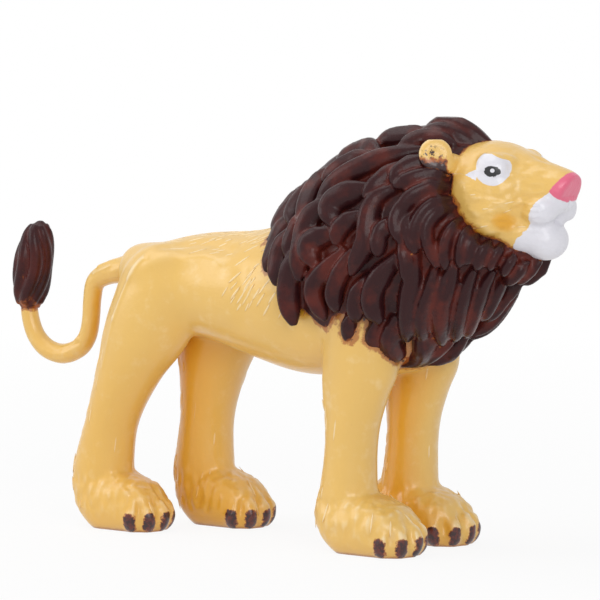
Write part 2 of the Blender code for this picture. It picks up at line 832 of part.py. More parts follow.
def lock(surface, points, width):
    """One lock on the mane: sunk at its root and proud towards its tip."""
    places, normals, girths = [], [], []
    for index, point in enumerate(points):
        along = index / (LOCK_POINTS - 1)
        place, normal, _, _ = surface.find_nearest(point)
        places.append(place + normal * (width * (LOCK_LIFT_SHARE * along - LOCK_SINK_SHARE)))
        normals.append(normal)
        girths.append(0.5 * width * lock_girth(along))
    return strand(places, normals, girths)


def lock_starts(sections, draws):
    """Points on the mane in rows from its rim to its rear edge, each row half a lock out of step."""
    starts = []
    row = 0
    for rear, front in zip(sections, sections[1:]):
        far, far_u, far_v, far_bow = rear
        near, near_u, near_v, near_bow = front
        pitch = (far + far_v - near - near_v).length
        rows_here = max(1, round(pitch / lock_row_pitch))
        for step in range(rows_here):
            along = step / rows_here
            centre = near.lerp(far, along)
            half_u = near_u.lerp(far_u, along)
            half_v = near_v.lerp(far_v, along)
            bow = near_bow.lerp(far_bow, along)
            around = math.pi * (half_u.length + half_v.length)
            count = round(around / (LOCK_PITCH_SHARE * lock_width))
            for index in range(count):
                wander = LOCK_WANDER_SHARE * draws.random() + 0.5 * (row % 2)
                angle = math.tau * (index + wander) / count
                c, s = math.sin(angle), math.cos(angle)
                starts.append(centre + half_u * c + half_v * s + bow * c * c)
            row += 1
    return starts


def drawn_locks(surface, draws):
    """The big locks of the table on both sides, each its points and its width."""
    made = []
    for width, *spots in LOCK_SHARES:
        for side in SIDES:
            if side > 0 and len(spots[0]) > 2 and spots[0][2] < MIRROR_SHARE:
                continue
            reach = LOCK_JITTER_SHARE * mane_height if side > 0 else 0.0
            places = []
            for spot in spots:
                shift = Vector((draws.uniform(-1, 1), 0, draws.uniform(-1, 1)))
                places.append(place_on_mane(surface, spot, side) + reach * shift)
            made.append((spaced(places, LOCK_POINTS), width / GRID * mane_width))
    return made


def filling_locks(surface, drawn, draws):
    """Smaller locks that follow the lie of the hair where the table draws none."""
    taken = [point for points, _ in drawn for point in points]
    tree = KDTree(len(taken))
    for index, point in enumerate(taken):
        tree.insert(point, index)
    tree.balance()
    made = []
    for start in lock_starts(mane_sections(MANE_SHARES[2:], 0.0), draws):
        length = lock_length * draws.uniform(*LOCK_LENGTH_SHARES)
        width = lock_width * draws.uniform(*LOCK_WIDTH_SHARES)
        bend = draws.uniform(*LOCK_BEND_SHARES) * draws.choice(SIDES)
        points = combed(surface, start, length, bend)
        if tree.find(points[LOCK_POINTS // 2])[2] > lock_room:
            made.append((points, width))
    return made


def forelock():
    """The big curl over the forehead, thickest at its root."""
    made = []
    for width, *spots in FORELOCK_SHARES:
        places = spaced([mane_place(*spot, 1) for spot in spots], LOCK_POINTS)
        girths = []
        for index in range(LOCK_POINTS):
            along = index / (LOCK_POINTS - 1)
            taper = 1 - FORELOCK_TAPER_SHARE * along**3
            girths.append(0.5 * width / GRID * mane_width * lock_girth(along) * taper)
        sunk = [place - UP * (FORELOCK_SINK_SHARE * girth) for place, girth in zip(places, girths)]
        made.append(strand(sunk, [UP] * LOCK_POINTS, girths))
    return made


def make_mane(trunk, head):
    drape = loft(mane_sections(eased(MANE_SHARES, DRAPE_STEPS), 0.0), around=DRAPE_SIDE_COUNT)
    surface = BVHTree.FromObject(drape, bpy.context.evaluated_depsgraph_get())
    bpy.data.objects.remove(drape)
    draws = random.Random(SEED)
    drawn = drawn_locks(surface, draws)
    under = mane_sections(eased(MANE_SHARES[1:], DRAPE_STEPS), mane_groove_depth)
    forms = [loft(under, around=DRAPE_SIDE_COUNT), *forelock()]
    for points, width in drawn + filling_locks(surface, drawn, draws):
        forms.append(lock(surface, points, width))
    mane = moulded("mane", forms, mane_voxel, 1, MANE_TRIANGLES)
    boolean(mane, swollen(trunk, joint_gap), "DIFFERENCE")
    for side in SIDES:
        centre, facing = ear_frame(side)
        bay = ear_radius * EAR_BAY_SHAPE_SHARES
        boolean(mane, ellipsoid(centre + facing * bay.z / 2, bay, pointing(facing)), "DIFFERENCE")
    return largest_body(boolean(mane, swollen(head, joint_gap), "DIFFERENCE"))


# Tail and tuft


# Each row: back from the root in tail reaches, down from it in tail drops, thickness in tail radii
TAIL_SHARES = (
    (0.00, 0.00, 1.45),
    (0.16, 0.05, 1.25),
    (0.30, 0.16, 1.06),
    (0.34, 0.36, 1.00),
    (0.355, 0.60, 0.98),
    (0.39, 0.80, 1.00),
    (0.48, 0.95, 1.04),
    (0.65, 1.03, 1.08),
    (0.82, 0.98, 1.06),
    (0.94, 0.83, 1.00),
    (1.00, 0.62, 0.96),
    (1.01, 0.42, 0.92),
    (1.00, 0.25, 0.86),
)
TAIL_RINGS_PER_POINT = 2


def tail_root():
    return Vector((rump_x, 0, tail_root_height))


def tail_end():
    back, down, _ = TAIL_SHARES[-1]
    return tail_root() + Vector((-back * tail_reach, 0, -down * tail_drop))


def tail_tube(extra):
    """The tail's bent rod, or a cutter for its socket when its radius gets an extra."""
    curve = bpy.data.curves.new("tail_line", "CURVE")
    curve.dimensions = "3D"
    curve.bevel_depth = tail_radius
    curve.bevel_resolution = 2
    curve.resolution_u = TAIL_RINGS_PER_POINT
    curve.use_fill_caps = True
    line = curve.splines.new("BEZIER")
    line.bezier_points.add(len(TAIL_SHARES) - 1)
    for point, (back, down, thickness) in zip(line.bezier_points, TAIL_SHARES):
        point.co = tail_root() + Vector((-back * tail_reach, 0, -down * tail_drop))
        point.radius = thickness + extra / tail_radius
        point.handle_left_type = "AUTO"
        point.handle_right_type = "AUTO"
    rope = bpy.data.objects.new("tail_line", curve)
    guides.objects.link(rope)
    bm = bmesh.new()
    depsgraph = bpy.context.evaluated_depsgraph_get()
    bm.from_mesh(bpy.data.meshes.new_from_object(rope.evaluated_get(depsgraph)))
    bmesh.ops.remove_doubles(bm, verts=bm.verts, dist=joint_gap / 10)
    bpy.data.objects.remove(rope)
    return guide("tail", bm)


def tail_plug(clearance):
    """The tail's stem and wider foot, which the two torso shells clamp, or their socket."""
    turn = pointing(ALONG)
    stem_length = tail_plug_length + tail_radius + clearance
    stem_centre = tail_root() + ALONG * ((tail_plug_length - tail_radius) / 2)
    stem = rod("tail_plug", stem_centre, tail_radius + clearance, stem_length, turn)
    foot_centre = tail_root() + ALONG * (tail_plug_length - tail_foot_length / 2)
    foot_length = tail_foot_length + 2 * clearance
    foot = rod("tail_foot", foot_centre, tail_foot_radius + clearance, foot_length, turn)
    return boolean(stem, foot, "UNION")


def make_tail(trunk):
    tail = tail_tube(0.0)
    boolean(tail, swollen(trunk, joint_gap), "DIFFERENCE")
    largest_body(tail)
    return largest_body(boolean(tail, tail_plug(0.0), "UNION"))


# Each row: place up the tuft and its thickness in tuft radii
TUFT_SHARES = (
    (0.00, 0.55),
    (0.06, 0.65),
    (0.13, 0.77),
    (0.21, 0.89),
    (0.35, 0.98),
    (0.50, 1.00),
    (0.62, 0.97),
    (0.75, 0.86),
    (0.87, 0.68),
    (0.95, 0.43),
    (1.00, 0.14),
)
TUFT_LEAN_POWER = 1.6
TUFT_RIDGES = 9
TUFT_RIDGE_SHARE = 0.06


def make_tuft():
    """The brown brush that slips over the end of the tail."""
    base = tail_end() - UP * tuft_socket_depth
    sections = []
    for along, thickness in TUFT_SHARES:
        lean = tuft_lean * along**TUFT_LEAN_POWER
        centre = base + Vector((lean, 0, along * tuft_length))
        radius = thickness * tuft_radius
        sections.append((centre, ALONG * radius, ACROSS * radius))
    tuft = loft(sections, around=3 * TUFT_RIDGES, ridges=TUFT_RIDGES, ridge_share=TUFT_RIDGE_SHARE)
    tuft.name = "tail_tuft"
    return largest_body(boolean(tuft, tail_tube(joint_gap), "DIFFERENCE"))


# Torso shells


PIN_PLACE_SHARES = ((0.075, -0.13), (0.85, -0.28))


def seam_pins(clearance):
    """Round pins across the seam between the torso shells, or their holes."""
    made = []
    turn = pointing(ACROSS)
    for along, rise in PIN_PLACE_SHARES:
        length = 2 * pin_length + clearance
        centre = Vector(
            (
                rump_x + along * torso_length,
                clearance / 2,
                torso_centre_height + rise * torso_height,
            )
        )
        made.append(rod("seam_pin", centre, pin_radius + clearance, length, turn))
    return made


def make_trunk(skin):
    """The torso with its haunches and leg stumps, whole and solid."""
    trunk = copy_of(skin, "trunk")
    for limb in limbs():
        boolean(trunk, limb_space(limb, limb.seam + joint_gap / 2), "DIFFERENCE")
    foot, up_neck = neck_frame()
    seam = foot - up_neck * (joint_gap / 2)
    boolean(trunk, half_space("above_the_neck", seam, up_neck), "DIFFERENCE")
    return largest_body(trunk)


def make_shell(name, trunk, side):
    shell = copy_of(trunk, name)
    boolean(shell, loft(torso_sections(TORSO_SHARES[CAVITY_ROWS], shell_wall)), "DIFFERENCE")
    for limb in limbs():
        if limb.side == side:
            boolean(shell, leg_plug(limb, joint_gap), "DIFFERENCE")
    boolean(shell, neck_plug(joint_gap), "DIFFERENCE")
    boolean(shell, tail_plug(joint_gap), "DIFFERENCE")
    seam = ACROSS * (side * joint_gap / 2)
    boolean(shell, half_space("other_half", seam, -side * ACROSS), "DIFFERENCE")
    if side < 0:
        for pin in seam_pins(0.0):
            boolean(shell, pin, "UNION")
    else:
        for hole in seam_pins(joint_gap):
            boolean(shell, hole, "DIFFERENCE")
    return largest_body(shell)


# The figure


def kept(obj, name, material, place):
    """Moves a finished piece to the model's own collection, with its origin at its place."""
    obj.name = name
    obj.data.name = name
    guides.objects.unlink(obj)
    parts.objects.link(obj)
    obj.display_type = "TEXTURED"
    obj.hide_render = False
    obj.data.materials.clear()
    obj.data.materials.append(material)
    obj.data.shade_smooth()
    obj.data.transform(Matrix.Translation(-place))
    obj.location = place
    obj.parent = figure
    return obj


def paint_where(obj, material, test):
    """Paints the faces whose middles pass a test, in the figure's own frame."""
    obj.data.materials.append(material)
    index = len(obj.data.materials) - 1
    for face in obj.data.polygons:
        if test(face.center + obj.location):
            face.material_index = index


MUZZLE_PAINT_SHARE = 1.2
CHIN_PAINT_SHARE = 1.2
NOSE_PAINT_SHARE = 1.05
EYE_PAINT_SHARE = 0.9
PUPIL_PAINT_SHARE = 0.4


def paint_face(head):
    pad = face_place(MUZZLE_PLACE_SHARES)
    chin = face_place(CHIN_PLACE_SHARES)
    nose = Vector((head_x + snout_length, 0, head_height + SNOUT_SHARES[-1][1] * head_depth))
    eye = face_place(FACE_PAIR_SHARES[2][0])

    def on_muzzle(place):
        place = Vector((place.x, abs(place.y), place.z))
        on_pad = (place - pad).length < MUZZLE_PAINT_SHARE * muzzle_radius
        return on_pad or (place - chin).length < CHIN_PAINT_SHARE * chin_radius

    def on_nose(place):
        return (place - nose).length < NOSE_PAINT_SHARE * muzzle_radius and place.z > pad.z

    def within_eye(place, reach):
        off = Vector((place.x - eye.x, 0, place.z - eye.z))
        return off.length < reach and abs(place.y) > eye.y

    def on_eye(place):
        return within_eye(place, EYE_PAINT_SHARE * eye_radius)

    def on_pupil(place):
        return within_eye(place, PUPIL_PAINT_SHARE * eye_radius)

    paint_where(head, paint("muzzle_white", WHITE, 0.4), on_muzzle)
    paint_where(head, paint("nose_pink", PINK, 0.4), on_nose)
    paint_where(head, paint("eye_white", WHITE, 0.35), on_eye)
    paint_where(head, paint("pupil_black", BLACK, 0.3), on_pupil)


def stand_over_origin():
    """Sets the empty so that the figure's box is centred over the origin, soles on the ground."""
    corners = []
    for piece in parts.objects:
        if piece.type == "MESH":
            corners += [piece.location + vertex.co for vertex in piece.data.vertices]
    middle_x = (min(c.x for c in corners) + max(c.x for c in corners)) / 2
    middle_y = (min(c.y for c in corners) + max(c.y for c in corners)) / 2
    figure.location = Vector((-middle_x, -middle_y, -min(c.z for c in corners)))


def main():
    skin = body_skin()
    trunk = make_trunk(skin)
    head = make_head()
    mane = make_mane(trunk, head)
    tail = make_tail(trunk)
    tuft = make_tuft()
    neck_foot, _ = neck_frame()
    torso_middle = Vector((rump_x + torso_length / 2, 0, torso_centre_height))
    fur = paint("fur_yellow", YELLOW, 0.35)
    hair = paint("mane_brown", BROWN, 0.42)
    for limb in limbs():
        kept(make_leg(limb, skin), limb.name, fur, limb.plug)
    for side, name in ((-1, "torso_right_shell"), (1, "torso_left_shell")):
        kept(make_shell(name, trunk, side), name, fur, torso_middle)
    paint_face(kept(head, "head", fur, neck_foot))
    kept(mane, "mane", hair, neck_foot)
    kept(tail, "tail", fur, tail_root())
    kept(tuft, "tail_tuft", hair, tail_end())
    stand_over_origin()


clear_scene()
parts = fresh_collection("toy_lion")
guides = fresh_collection("guides_and_cutters")
figure = bpy.data.objects.new("figure", None)
parts.objects.link(figure)
main()
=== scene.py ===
"""Dresses the toy lion's frame as a moulded soft-plastic figure with painted mane, face and claws.

Lengths are metres, +X towards the nose, +Y to the lion's left. Forms are placed from a point on
the ground under the middle of the torso, and each finished piece is moved to where the frame has
that point.
"""

import functools
import math
import random

import bmesh
import bpy
import numpy as np
from bpy.props import FloatProperty, FloatVectorProperty, IntProperty, PointerProperty
from mathutils import Matrix, Vector, noise
from mathutils.bvhtree import BVHTree
from mathutils.kdtree import KDTree


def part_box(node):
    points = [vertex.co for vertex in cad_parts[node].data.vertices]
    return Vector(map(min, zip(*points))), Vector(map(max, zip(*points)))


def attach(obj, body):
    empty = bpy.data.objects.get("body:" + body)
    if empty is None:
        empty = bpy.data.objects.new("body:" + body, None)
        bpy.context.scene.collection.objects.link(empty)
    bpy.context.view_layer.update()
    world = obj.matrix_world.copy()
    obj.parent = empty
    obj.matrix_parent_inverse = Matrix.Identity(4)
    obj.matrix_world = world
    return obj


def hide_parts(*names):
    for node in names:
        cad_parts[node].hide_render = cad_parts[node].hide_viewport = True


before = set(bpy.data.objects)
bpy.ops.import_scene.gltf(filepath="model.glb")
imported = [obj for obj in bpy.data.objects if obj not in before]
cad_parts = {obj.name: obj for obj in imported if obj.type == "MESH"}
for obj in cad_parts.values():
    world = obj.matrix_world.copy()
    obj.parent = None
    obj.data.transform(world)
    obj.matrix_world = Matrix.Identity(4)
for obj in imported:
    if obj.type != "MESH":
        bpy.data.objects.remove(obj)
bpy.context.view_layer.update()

bl_info = {
    "name": "Toy lion figure",
    "version": (1, 0, 0),
    "blender": (4, 5, 0),
    "location": "3D View > Sidebar > Toy lion",
    "description": "Moulds and paints a toy lion around its frame",
    "category": "Object",
}

MM = 0.001
TINY = 1e-9
UP = Vector((0, 0, 1))
ALONG = Vector((1, 0, 0))
ACROSS = Vector((0, 1, 0))
SIDES = (-1, 1)
SEED = 7
# Where the frame has the point that all places below are measured from
FIGURE_PLACE = Vector((4.60, 0.0, 0.0)) * MM


# Settings


def length(label, about, millimetres):
    return FloatProperty(
        name=label, description=about, default=millimetres * MM, unit="LENGTH", precision=5
    )


def angle(label, about, degrees):
    return FloatProperty(
        name=label, description=about, default=math.radians(degrees), subtype="ANGLE"
    )


def colour(label, about, default):
    return FloatVectorProperty(
        name=label, description=about, default=default, subtype="COLOR", size=3, min=0, max=1
    )


class TorsoSettings(bpy.types.PropertyGroup):
    length: length("Length", "Rump to the front of the chest", 73.0)
    height: length("Height", "Thickness of the torso, up and down", 29.0)
    width: length("Width", "Thickness of the torso, across", 29.0)
    centre_height: length("Centre height", "Middle of the torso above the ground", 48.0)
    rump_x: length("Rump", "Place of the rump along the figure", -42.0)
    split_x: length("Split", "Place between the front and the hind legs", -6.0)
    voxel: length("Fineness", "Grain of the moulded body skin", 0.36)


class LegSettings(bpy.types.PropertyGroup):
    right_front_x: length("Right front leg", "Place of the leg along the figure", 16.0)
    left_front_x: length("Left front leg", "Place of the leg along the figure", 18.4)
    right_hind_x: length("Right hind leg", "Place of the leg along the figure", -41.2)
    left_hind_x: length("Left hind leg", "Place of the leg along the figure", -28.0)
    right_front_heel: length("Right front heel", "How far the heel stands back", 6.5)
    left_front_heel: length("Left front heel", "How far the heel stands back", 8.2)
    right_hind_heel: length("Right hind heel", "How far the heel stands back", 6.2)
    left_hind_heel: length("Left hind heel", "How far the heel stands back", 5.7)
    front_y: length("Front legs apart", "Place of the front legs across", 9.0)
    hind_y: length("Hind legs apart", "Place of the hind legs across", 7.4)
    front_radius: length("Front leg radius", "Half thickness of a front leg", 5.5)
    hind_radius: length("Hind leg radius", "Half thickness of a hind leg", 5.6)
    front_seam: length("Front seam", "Height where the front legs plug in", 31.5)
    hind_seam: length("Hind seam", "Height where the hind legs plug in", 34.4)
    right_thigh_lean: length("Right thigh lean", "How far the thigh lies ahead", 10.2)
    left_thigh_lean: length("Left thigh lean", "How far the thigh lies ahead", 3.5)
    front_paw_length: length("Front paw length", "Heel to toes", 22.5)
    hind_paw_length: length("Hind paw length", "Heel to toes", 21.0)
    front_paw_width: length("Front paw width", "Across the toes", 14.0)
    hind_paw_width: length("Hind paw width", "Across the toes", 12.8)
    paw_height: length("Paw height", "Top of the paw above the ground", 11.5)
    toe_radius: length("Toe radius", "Half thickness of a toe", 2.6)
    claw_width: length("Claw width", "Width of a painted claw", 2.3)
    claw_height: length("Claw height", "Height of a painted claw", 3.8)


class HeadSettings(bpy.types.PropertyGroup):
    x: length("Place", "Middle of the head along the figure", 41.5)
    height: length("Centre height", "Middle of the head above the ground", 67.5)
    length: length("Length", "Skull along the figure", 23.0)
    width: length("Width", "Skull across", 21.6)
    depth: length("Depth", "Skull up and down", 19.6)
    snout_length: length("Snout length", "From the middle of the head", 18.0)
    snout_width: length("Snout width", "Across the snout", 17.2)
    muzzle_radius: length("Muzzle radius", "Half thickness of a muzzle pad", 3.4)
    chin_radius: length("Chin radius", "Half thickness of the chin", 4.5)
    ear_radius: length("Ear radius", "Half width of an ear", 3.2)
    ear_spread: length("Ear spread", "Place of an ear across", 12.2)
    left_ear_drop: length("Left ear drop", "How much lower the left ear stands", 1.6)
    left_ear_set_back: length("Left ear set back", "How far back the left ear stands", 1.2)
    neck_radius: length("Neck radius", "Half thickness of the neck", 10.2)
    neck_x: length("Neck seam", "Place of the neck seam along the figure", 25.0)
    neck_height: length("Neck seam height", "Height of the neck seam", 55.0)
    voxel: length("Fineness", "Grain of the moulded head", 0.26)


class ManeSettings(bpy.types.PropertyGroup):
    rear_x: length("Rear", "Rear edge of the mane along the figure", -4.0)
    length: length("Length", "Mane along the figure", 57.5)
    base_height: length("Base height", "Underside of the mane above the ground", 35.2)
    height: length("Height", "Mane up and down", 44.0)
    width: length("Width", "Mane across", 39.0)
    rim_set_back: length("Rim set back", "How far the rim lies back at the sides", 7.5)
    groove_depth: length("Groove depth", "How deep the grooves reach under the locks", 1.5)
    lock_length: length("Lock length", "Length of a filling lock", 15.0)
    lock_width: length("Lock width", "Width of a filling lock", 4.4)
    lock_row_pitch: length("Row pitch", "Distance between rows of filling locks", 6.0)
    lock_room: length("Lock room", "Room that a drawn lock keeps to a filling one", 3.0)
    voxel: length("Fineness", "Grain of the moulded mane", 0.35)


class TailSettings(bpy.types.PropertyGroup):
    radius: length("Radius", "Half thickness of the tail", 1.85)
    reach: length("Reach", "How far the tail stands back", 23.0)
    drop: length("Drop", "How far the tail hangs down", 16.9)
    root_height: length("Root height", "Height of the tail's root", 49.6)
    tuft_length: length("Tuft length", "Length of the brush", 17.5)
    tuft_radius: length("Tuft radius", "Half thickness of the brush", 4.0)
    tuft_lean: length("Tuft lean", "How far the tip of the brush leans ahead", 2.6)
    tuft_sleeve: length("Tuft sleeve", "How far the brush covers the tail", 4.5)
    voxel: length("Fineness", "Grain of the moulded tail", 0.28)


class FurSettings(bpy.types.PropertyGroup):
    stroke_length: length("Stroke length", "Length of a raised fur stroke", 3.3)
    stroke_width: length("Stroke width", "Width of a raised fur stroke", 0.40)
    stroke_height: length("Stroke height", "How far a fur stroke stands proud", 0.20)
    spacing: length("Spacing", "Least distance between fur strokes", 1.2)
    density: FloatProperty(
        name="Density", description="Fur strokes for each square metre at most", default=600000.0
    )
    seed: IntProperty(name="Seed", description="Picks where the strokes lie", default=SEED)


class PaintSettings(bpy.types.PropertyGroup):
    yellow: colour("Yellow", "Plastic of the body", (0.83, 0.52, 0.135))
    # Pale yellow stands for painted highlight on crests and fur strokes, and for rubbed spots
    pale: colour("Pale yellow", "Plastic where it is thin or rubbed", (0.93, 0.72, 0.40))
    # Orange stands for painted shade in hollows, sheltered places and dimples, and for the plastic
    # where the brown paint is worn through
    orange: colour("Orange", "Plastic in its hollows and on its shaded sides", (0.80, 0.39, 0.022))
    brown: colour("Brown", "Paint of the mane, the tuft and the claws", (0.034, 0.008, 0.009))
    red_brown: colour("Red brown", "Thin brown paint", (0.13, 0.020, 0.012))
    rust: colour("Rust", "Worn paint over the yellow plastic", (0.40, 0.11, 0.020))
    white: colour("White", "Paint of the muzzle and the eyes", (0.78, 0.77, 0.82))
    pink: colour("Pink", "Paint of the nose", (0.80, 0.14, 0.24))
    black: colour("Black", "Paint of the pupils", (0.012, 0.012, 0.014))


class StageSettings(bpy.types.PropertyGroup):
    camera_distance: length("Camera distance", "From the camera to the figure", 800.0)
    camera_azimuth: angle("Camera azimuth", "Turn of the camera towards the nose", 33)
    camera_elevation: angle("Camera elevation", "Height of the camera as an angle", 5.5)
    lens: FloatProperty(name="Lens", description="Focal length in millimetres", default=252.6)
    floor: length("Floor", "Side of the floor", 6000.0)


# Moulding


# How fine a form is before it's moulded
BALL_FINENESS = (32, 20)
LOFT_SIDE_COUNT = 48
# Smooth steps between the rows of a form's table
ROW_STEPS = {"body": 4, "mane": 3, "tail": 3, "lock": 8, "ridge": 2}
# How often each moulded skin is softened
SOFTENING = {"body": 22, "head": 12, "mane": 1, "tail": 3, "tuft": 2}
# Over how many rounds a skin is evened to measure its hollows
HOLLOW_PASSES = {"body": 14, "head": 14, "mane": 10, "tail": 10, "tuft": 8}
# How far the paint of the piece beside has strayed
BLEED_REACHES = {"body": 1.3 * MM, "head": 1.1 * MM, "tail": 1.0 * MM, "mane": 0.8 * MM}


def add_node(tree, kind, settings=None, inputs=None):
    """Adds a node to a tree: its settings first, then the values or links of its sockets."""
    made = tree.nodes.new(kind)
    for key, value in (settings or {}).items():
        setattr(made, key, value)
    for key, value in (inputs or {}).items():
        if isinstance(value, bpy.types.NodeSocket):
            tree.links.new(value, made.inputs[key])
        else:
            made.inputs[key].default_value = value
    return made


def read(parts, field, width, kind=float):
    """A field of a mesh's parts as an array, a row for each part."""
    values = np.empty(len(parts) * width, kind)
    parts.foreach_get(field, values)
    return values.reshape(-1, width)


def ramp(values, start, end):
    """0 before the start, 1 past the end and straight between; the start can be the higher one."""
    return np.clip((values - start) / (end - start), 0, 1)


def finished_mesh(obj):
    """The object's mesh with its modifiers applied, which are then removed."""
    depsgraph = bpy.context.evaluated_depsgraph_get()
    mesh = bpy.data.meshes.new_from_object(obj.evaluated_get(depsgraph))
    obj.modifiers.clear()
    obj.data = mesh
    return obj


def new_object(name, data):
    obj = bpy.data.objects.new(name, data)
    bpy.context.scene.collection.objects.link(obj)
    return obj


def pointing(direction):
    """Turns a form's own Z to a direction."""
    return direction.to_track_quat("Z", "Y").to_matrix().to_4x4()


def eased(rows, steps):
    """More rows along a smooth curve through a table's rows."""
    rows = np.array(rows, float)
    padded = np.vstack((2 * rows[0] - rows[1], rows, 2 * rows[-1] - rows[-2]))
    made = []
    for p0, p1, p2, p3 in zip(padded, padded[1:], padded[2:], padded[3:]):
        for step in range(steps):
            t = step / steps
            slope = (p2 - p0) * t + (2 * p0 - 5 * p1 + 4 * p2 - p3) * t**2
            made.append(p1 + 0.5 * (slope + (3 * p1 - p0 - 3 * p2 + p3) * t**3))
    return [tuple(row) for row in made] + [tuple(rows[-1])]


class Clay:
    """Overlapping closed forms that are fused into one moulded skin."""

    def __init__(self):
        self.bm = bmesh.new()

    def ball(self, centre, radii, turn=Matrix.Identity(4)):
        place = Matrix.Translation(centre) @ turn @ Matrix.Diagonal((*radii, 1.0))
        segments, rings = BALL_FINENESS
        bmesh.ops.create_uvsphere(
            self.bm, u_segments=segments, v_segments=rings, radius=1.0, matrix=place
        )

    def loft(self, sections, around=LOFT_SIDE_COUNT, squareness=1.0):
        """Rings, each a centre, two half-axes and a shift of its two sides."""
        rings = []
        for centre, half_u, half_v, *bow in sections:
            ring = []
            for step in range(around):
                angle = math.tau * step / around
                c = math.copysign(abs(math.cos(angle)) ** squareness, math.cos(angle))
                s = math.copysign(abs(math.sin(angle)) ** squareness, math.sin(angle))
                place = centre + half_u * c + half_v * s
                for shift in bow:
                    place = place + shift * c * c
                ring.append(self.bm.verts.new(place))
            rings.append(ring)
        for low, high in zip(rings, rings[1:]):
            for step in range(around):
                after = (step + 1) % around
                self.bm.faces.new((low[step], low[after], high[after], high[step]))
        self.bm.faces.new(rings[0])
        self.bm.faces.new(rings[-1])

    def add(self, obj):
        """Takes in another object's mesh and removes that object."""
        self.bm.from_mesh(obj.data)
        bpy.data.objects.remove(obj)

    def shape(self, name):
        """The forms as they are, still apart."""
        bmesh.ops.recalc_face_normals(self.bm, faces=self.bm.faces)
        mesh = bpy.data.meshes.new(name)
        self.bm.to_mesh(mesh)
        self.bm.free()
        return new_object(name, mesh)

    def moulded(self, name, voxel, passes):
        obj = self.shape(name)
        remesh = obj.modifiers.new("skin", "REMESH")
        remesh.mode = "VOXEL"
        remesh.voxel_size = voxel
        if passes:
            soften = obj.modifiers.new("soften", "SMOOTH")
            soften.factor = 0.5
            soften.iterations = passes
        return finished_mesh(obj)


class Skin:
    """A mesh's points and normals as arrays, so that marks can be pressed into it."""

    def __init__(self, mesh):
        self.mesh = mesh
        self.points = read(mesh.vertices, "co", 3)
        self.normals = read(mesh.vertex_normals, "vector", 3, np.float32).astype(float)
        self.ends = read(mesh.edges, "vertices", 2, np.int32).T

    def places(self):
        """Where the points lie along, across and up, in millimetres, an array for each."""
        return (self.points / MM).T

    def near(self, path, reach):
        """1 on a path in millimetres, falling to 0 around its reach."""
        best = np.full(len(self.points), np.inf)
        line = [np.array(p, float) * MM for p in path]
        for a, b in zip(line, line[1:] or line):
            step = b - a
            t = ((self.points - a) @ step) / max(step @ step, TINY * MM)
            off = self.points - a - np.clip(t, 0, 1)[:, None] * step
            best = np.minimum(best, np.linalg.norm(off, axis=1))
        return np.exp(-((best / (reach * MM)) ** 2))

    def raise_along(self, path, reach, height):
        """Raises a soft ridge along a path, or presses a groove where the height is negative."""
        lift = height * MM * self.near(path, reach)
        self.points += self.normals * lift[:, None]

    def mark(self, marks, sides=(1,)):
        """Raises or presses marks on the sides given, each a path, its reach and its height."""
        for path, reach, height in marks:
            for side in sides:
                self.raise_along([(x, side * y, z) for x, y, z in path], reach, height)

    def even(self, share, passes):
        """Smooths the skin, as strongly as each point's share."""
        self.points += share[:, None] * (self.smoothed(self.points, passes) - self.points)

    def roughen(self, share, size, height):
        """Adds uneven lumps, size and height in millimetres, as strong as each point's share."""
        lumps = np.zeros(len(self.points))
        scaled = self.points / (np.array(size) * MM)
        for index in np.nonzero(share > 0)[0].tolist():
            lumps[index] = noise.noise(scaled[index])
        self.points += self.normals * (lumps * share * height * MM)[:, None]

    def smoothed(self, values, passes):
        """Values or points evened out between neighbours."""
        a, b = self.ends
        count = len(self.points)
        degree = np.bincount(a, minlength=count) + np.bincount(b, minlength=count)
        degree = np.maximum(degree, 1)
        columns = values.reshape(count, -1).T.copy()
        for _ in range(passes):
            for index, column in enumerate(columns):
                total = np.bincount(a, column[b], count) + np.bincount(b, column[a], count)
                columns[index] = 0.5 * column + 0.5 * total / degree
        return columns.T.reshape(values.shape)

    def store_hollow(self, passes):
        """Stores each point's depth under the evened skin in millimetres, less than 0 on crests."""
        off = self.smoothed(self.points, passes) - self.points
        self.store("hollow", (off * self.normals).sum(1) / MM)

    def store_flow(self, wish):
        """Stores the way the fur lies: a wish for all points or for each, laid flat on the skin."""
        flow = wish - self.normals * (wish * self.normals).sum(1, keepdims=True)
        self.store("flow", flow / (np.linalg.norm(flow, axis=1, keepdims=True) + TINY))

    def hold_within(self, node):
        """Keeps every point inside the box of a frame's node."""
        low, high = (np.array(corner) - np.array(FIGURE_PLACE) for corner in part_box(node))
        self.points = np.clip(self.points, low, high)
        self.write()

    def write(self):
        self.mesh.vertices.foreach_set("co", self.points.astype(np.float32).ravel())
        self.mesh.update()

    def store(self, name, values):
        kind = "FLOAT_VECTOR" if values.ndim == 2 else "FLOAT"
        layer = self.mesh.attributes.new(name, kind, "POINT")
        field = "vector" if values.ndim == 2 else "value"
        layer.data.foreach_set(field, values.astype(np.float32).ravel())


def frame_tree():
    """All the frame's solids as one tree, to see what shelters what."""
    points, faces = [], []
    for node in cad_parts.values():
        first = len(points)
        points += [v.co - FIGURE_PLACE for v in node.data.vertices]
        faces += [[first + i for i in p.vertices] for p in node.data.polygons]
    return BVHTree.FromPolygons(points, faces)


SHELTER_RAYS = 8
SHELTER_REACH = 22.0 * MM
SHELTER_LIFT = 1.1 * MM
SHELTER_SPREAD = 1.05
SHELTER_PASSES = 24
# Painted shade on a leg's inner side: the least shelter it is given, and the heights in millimetres
# where that sets in
INNER_SHELTER = 0.62
INNER_HEIGHTS = (42, 36)


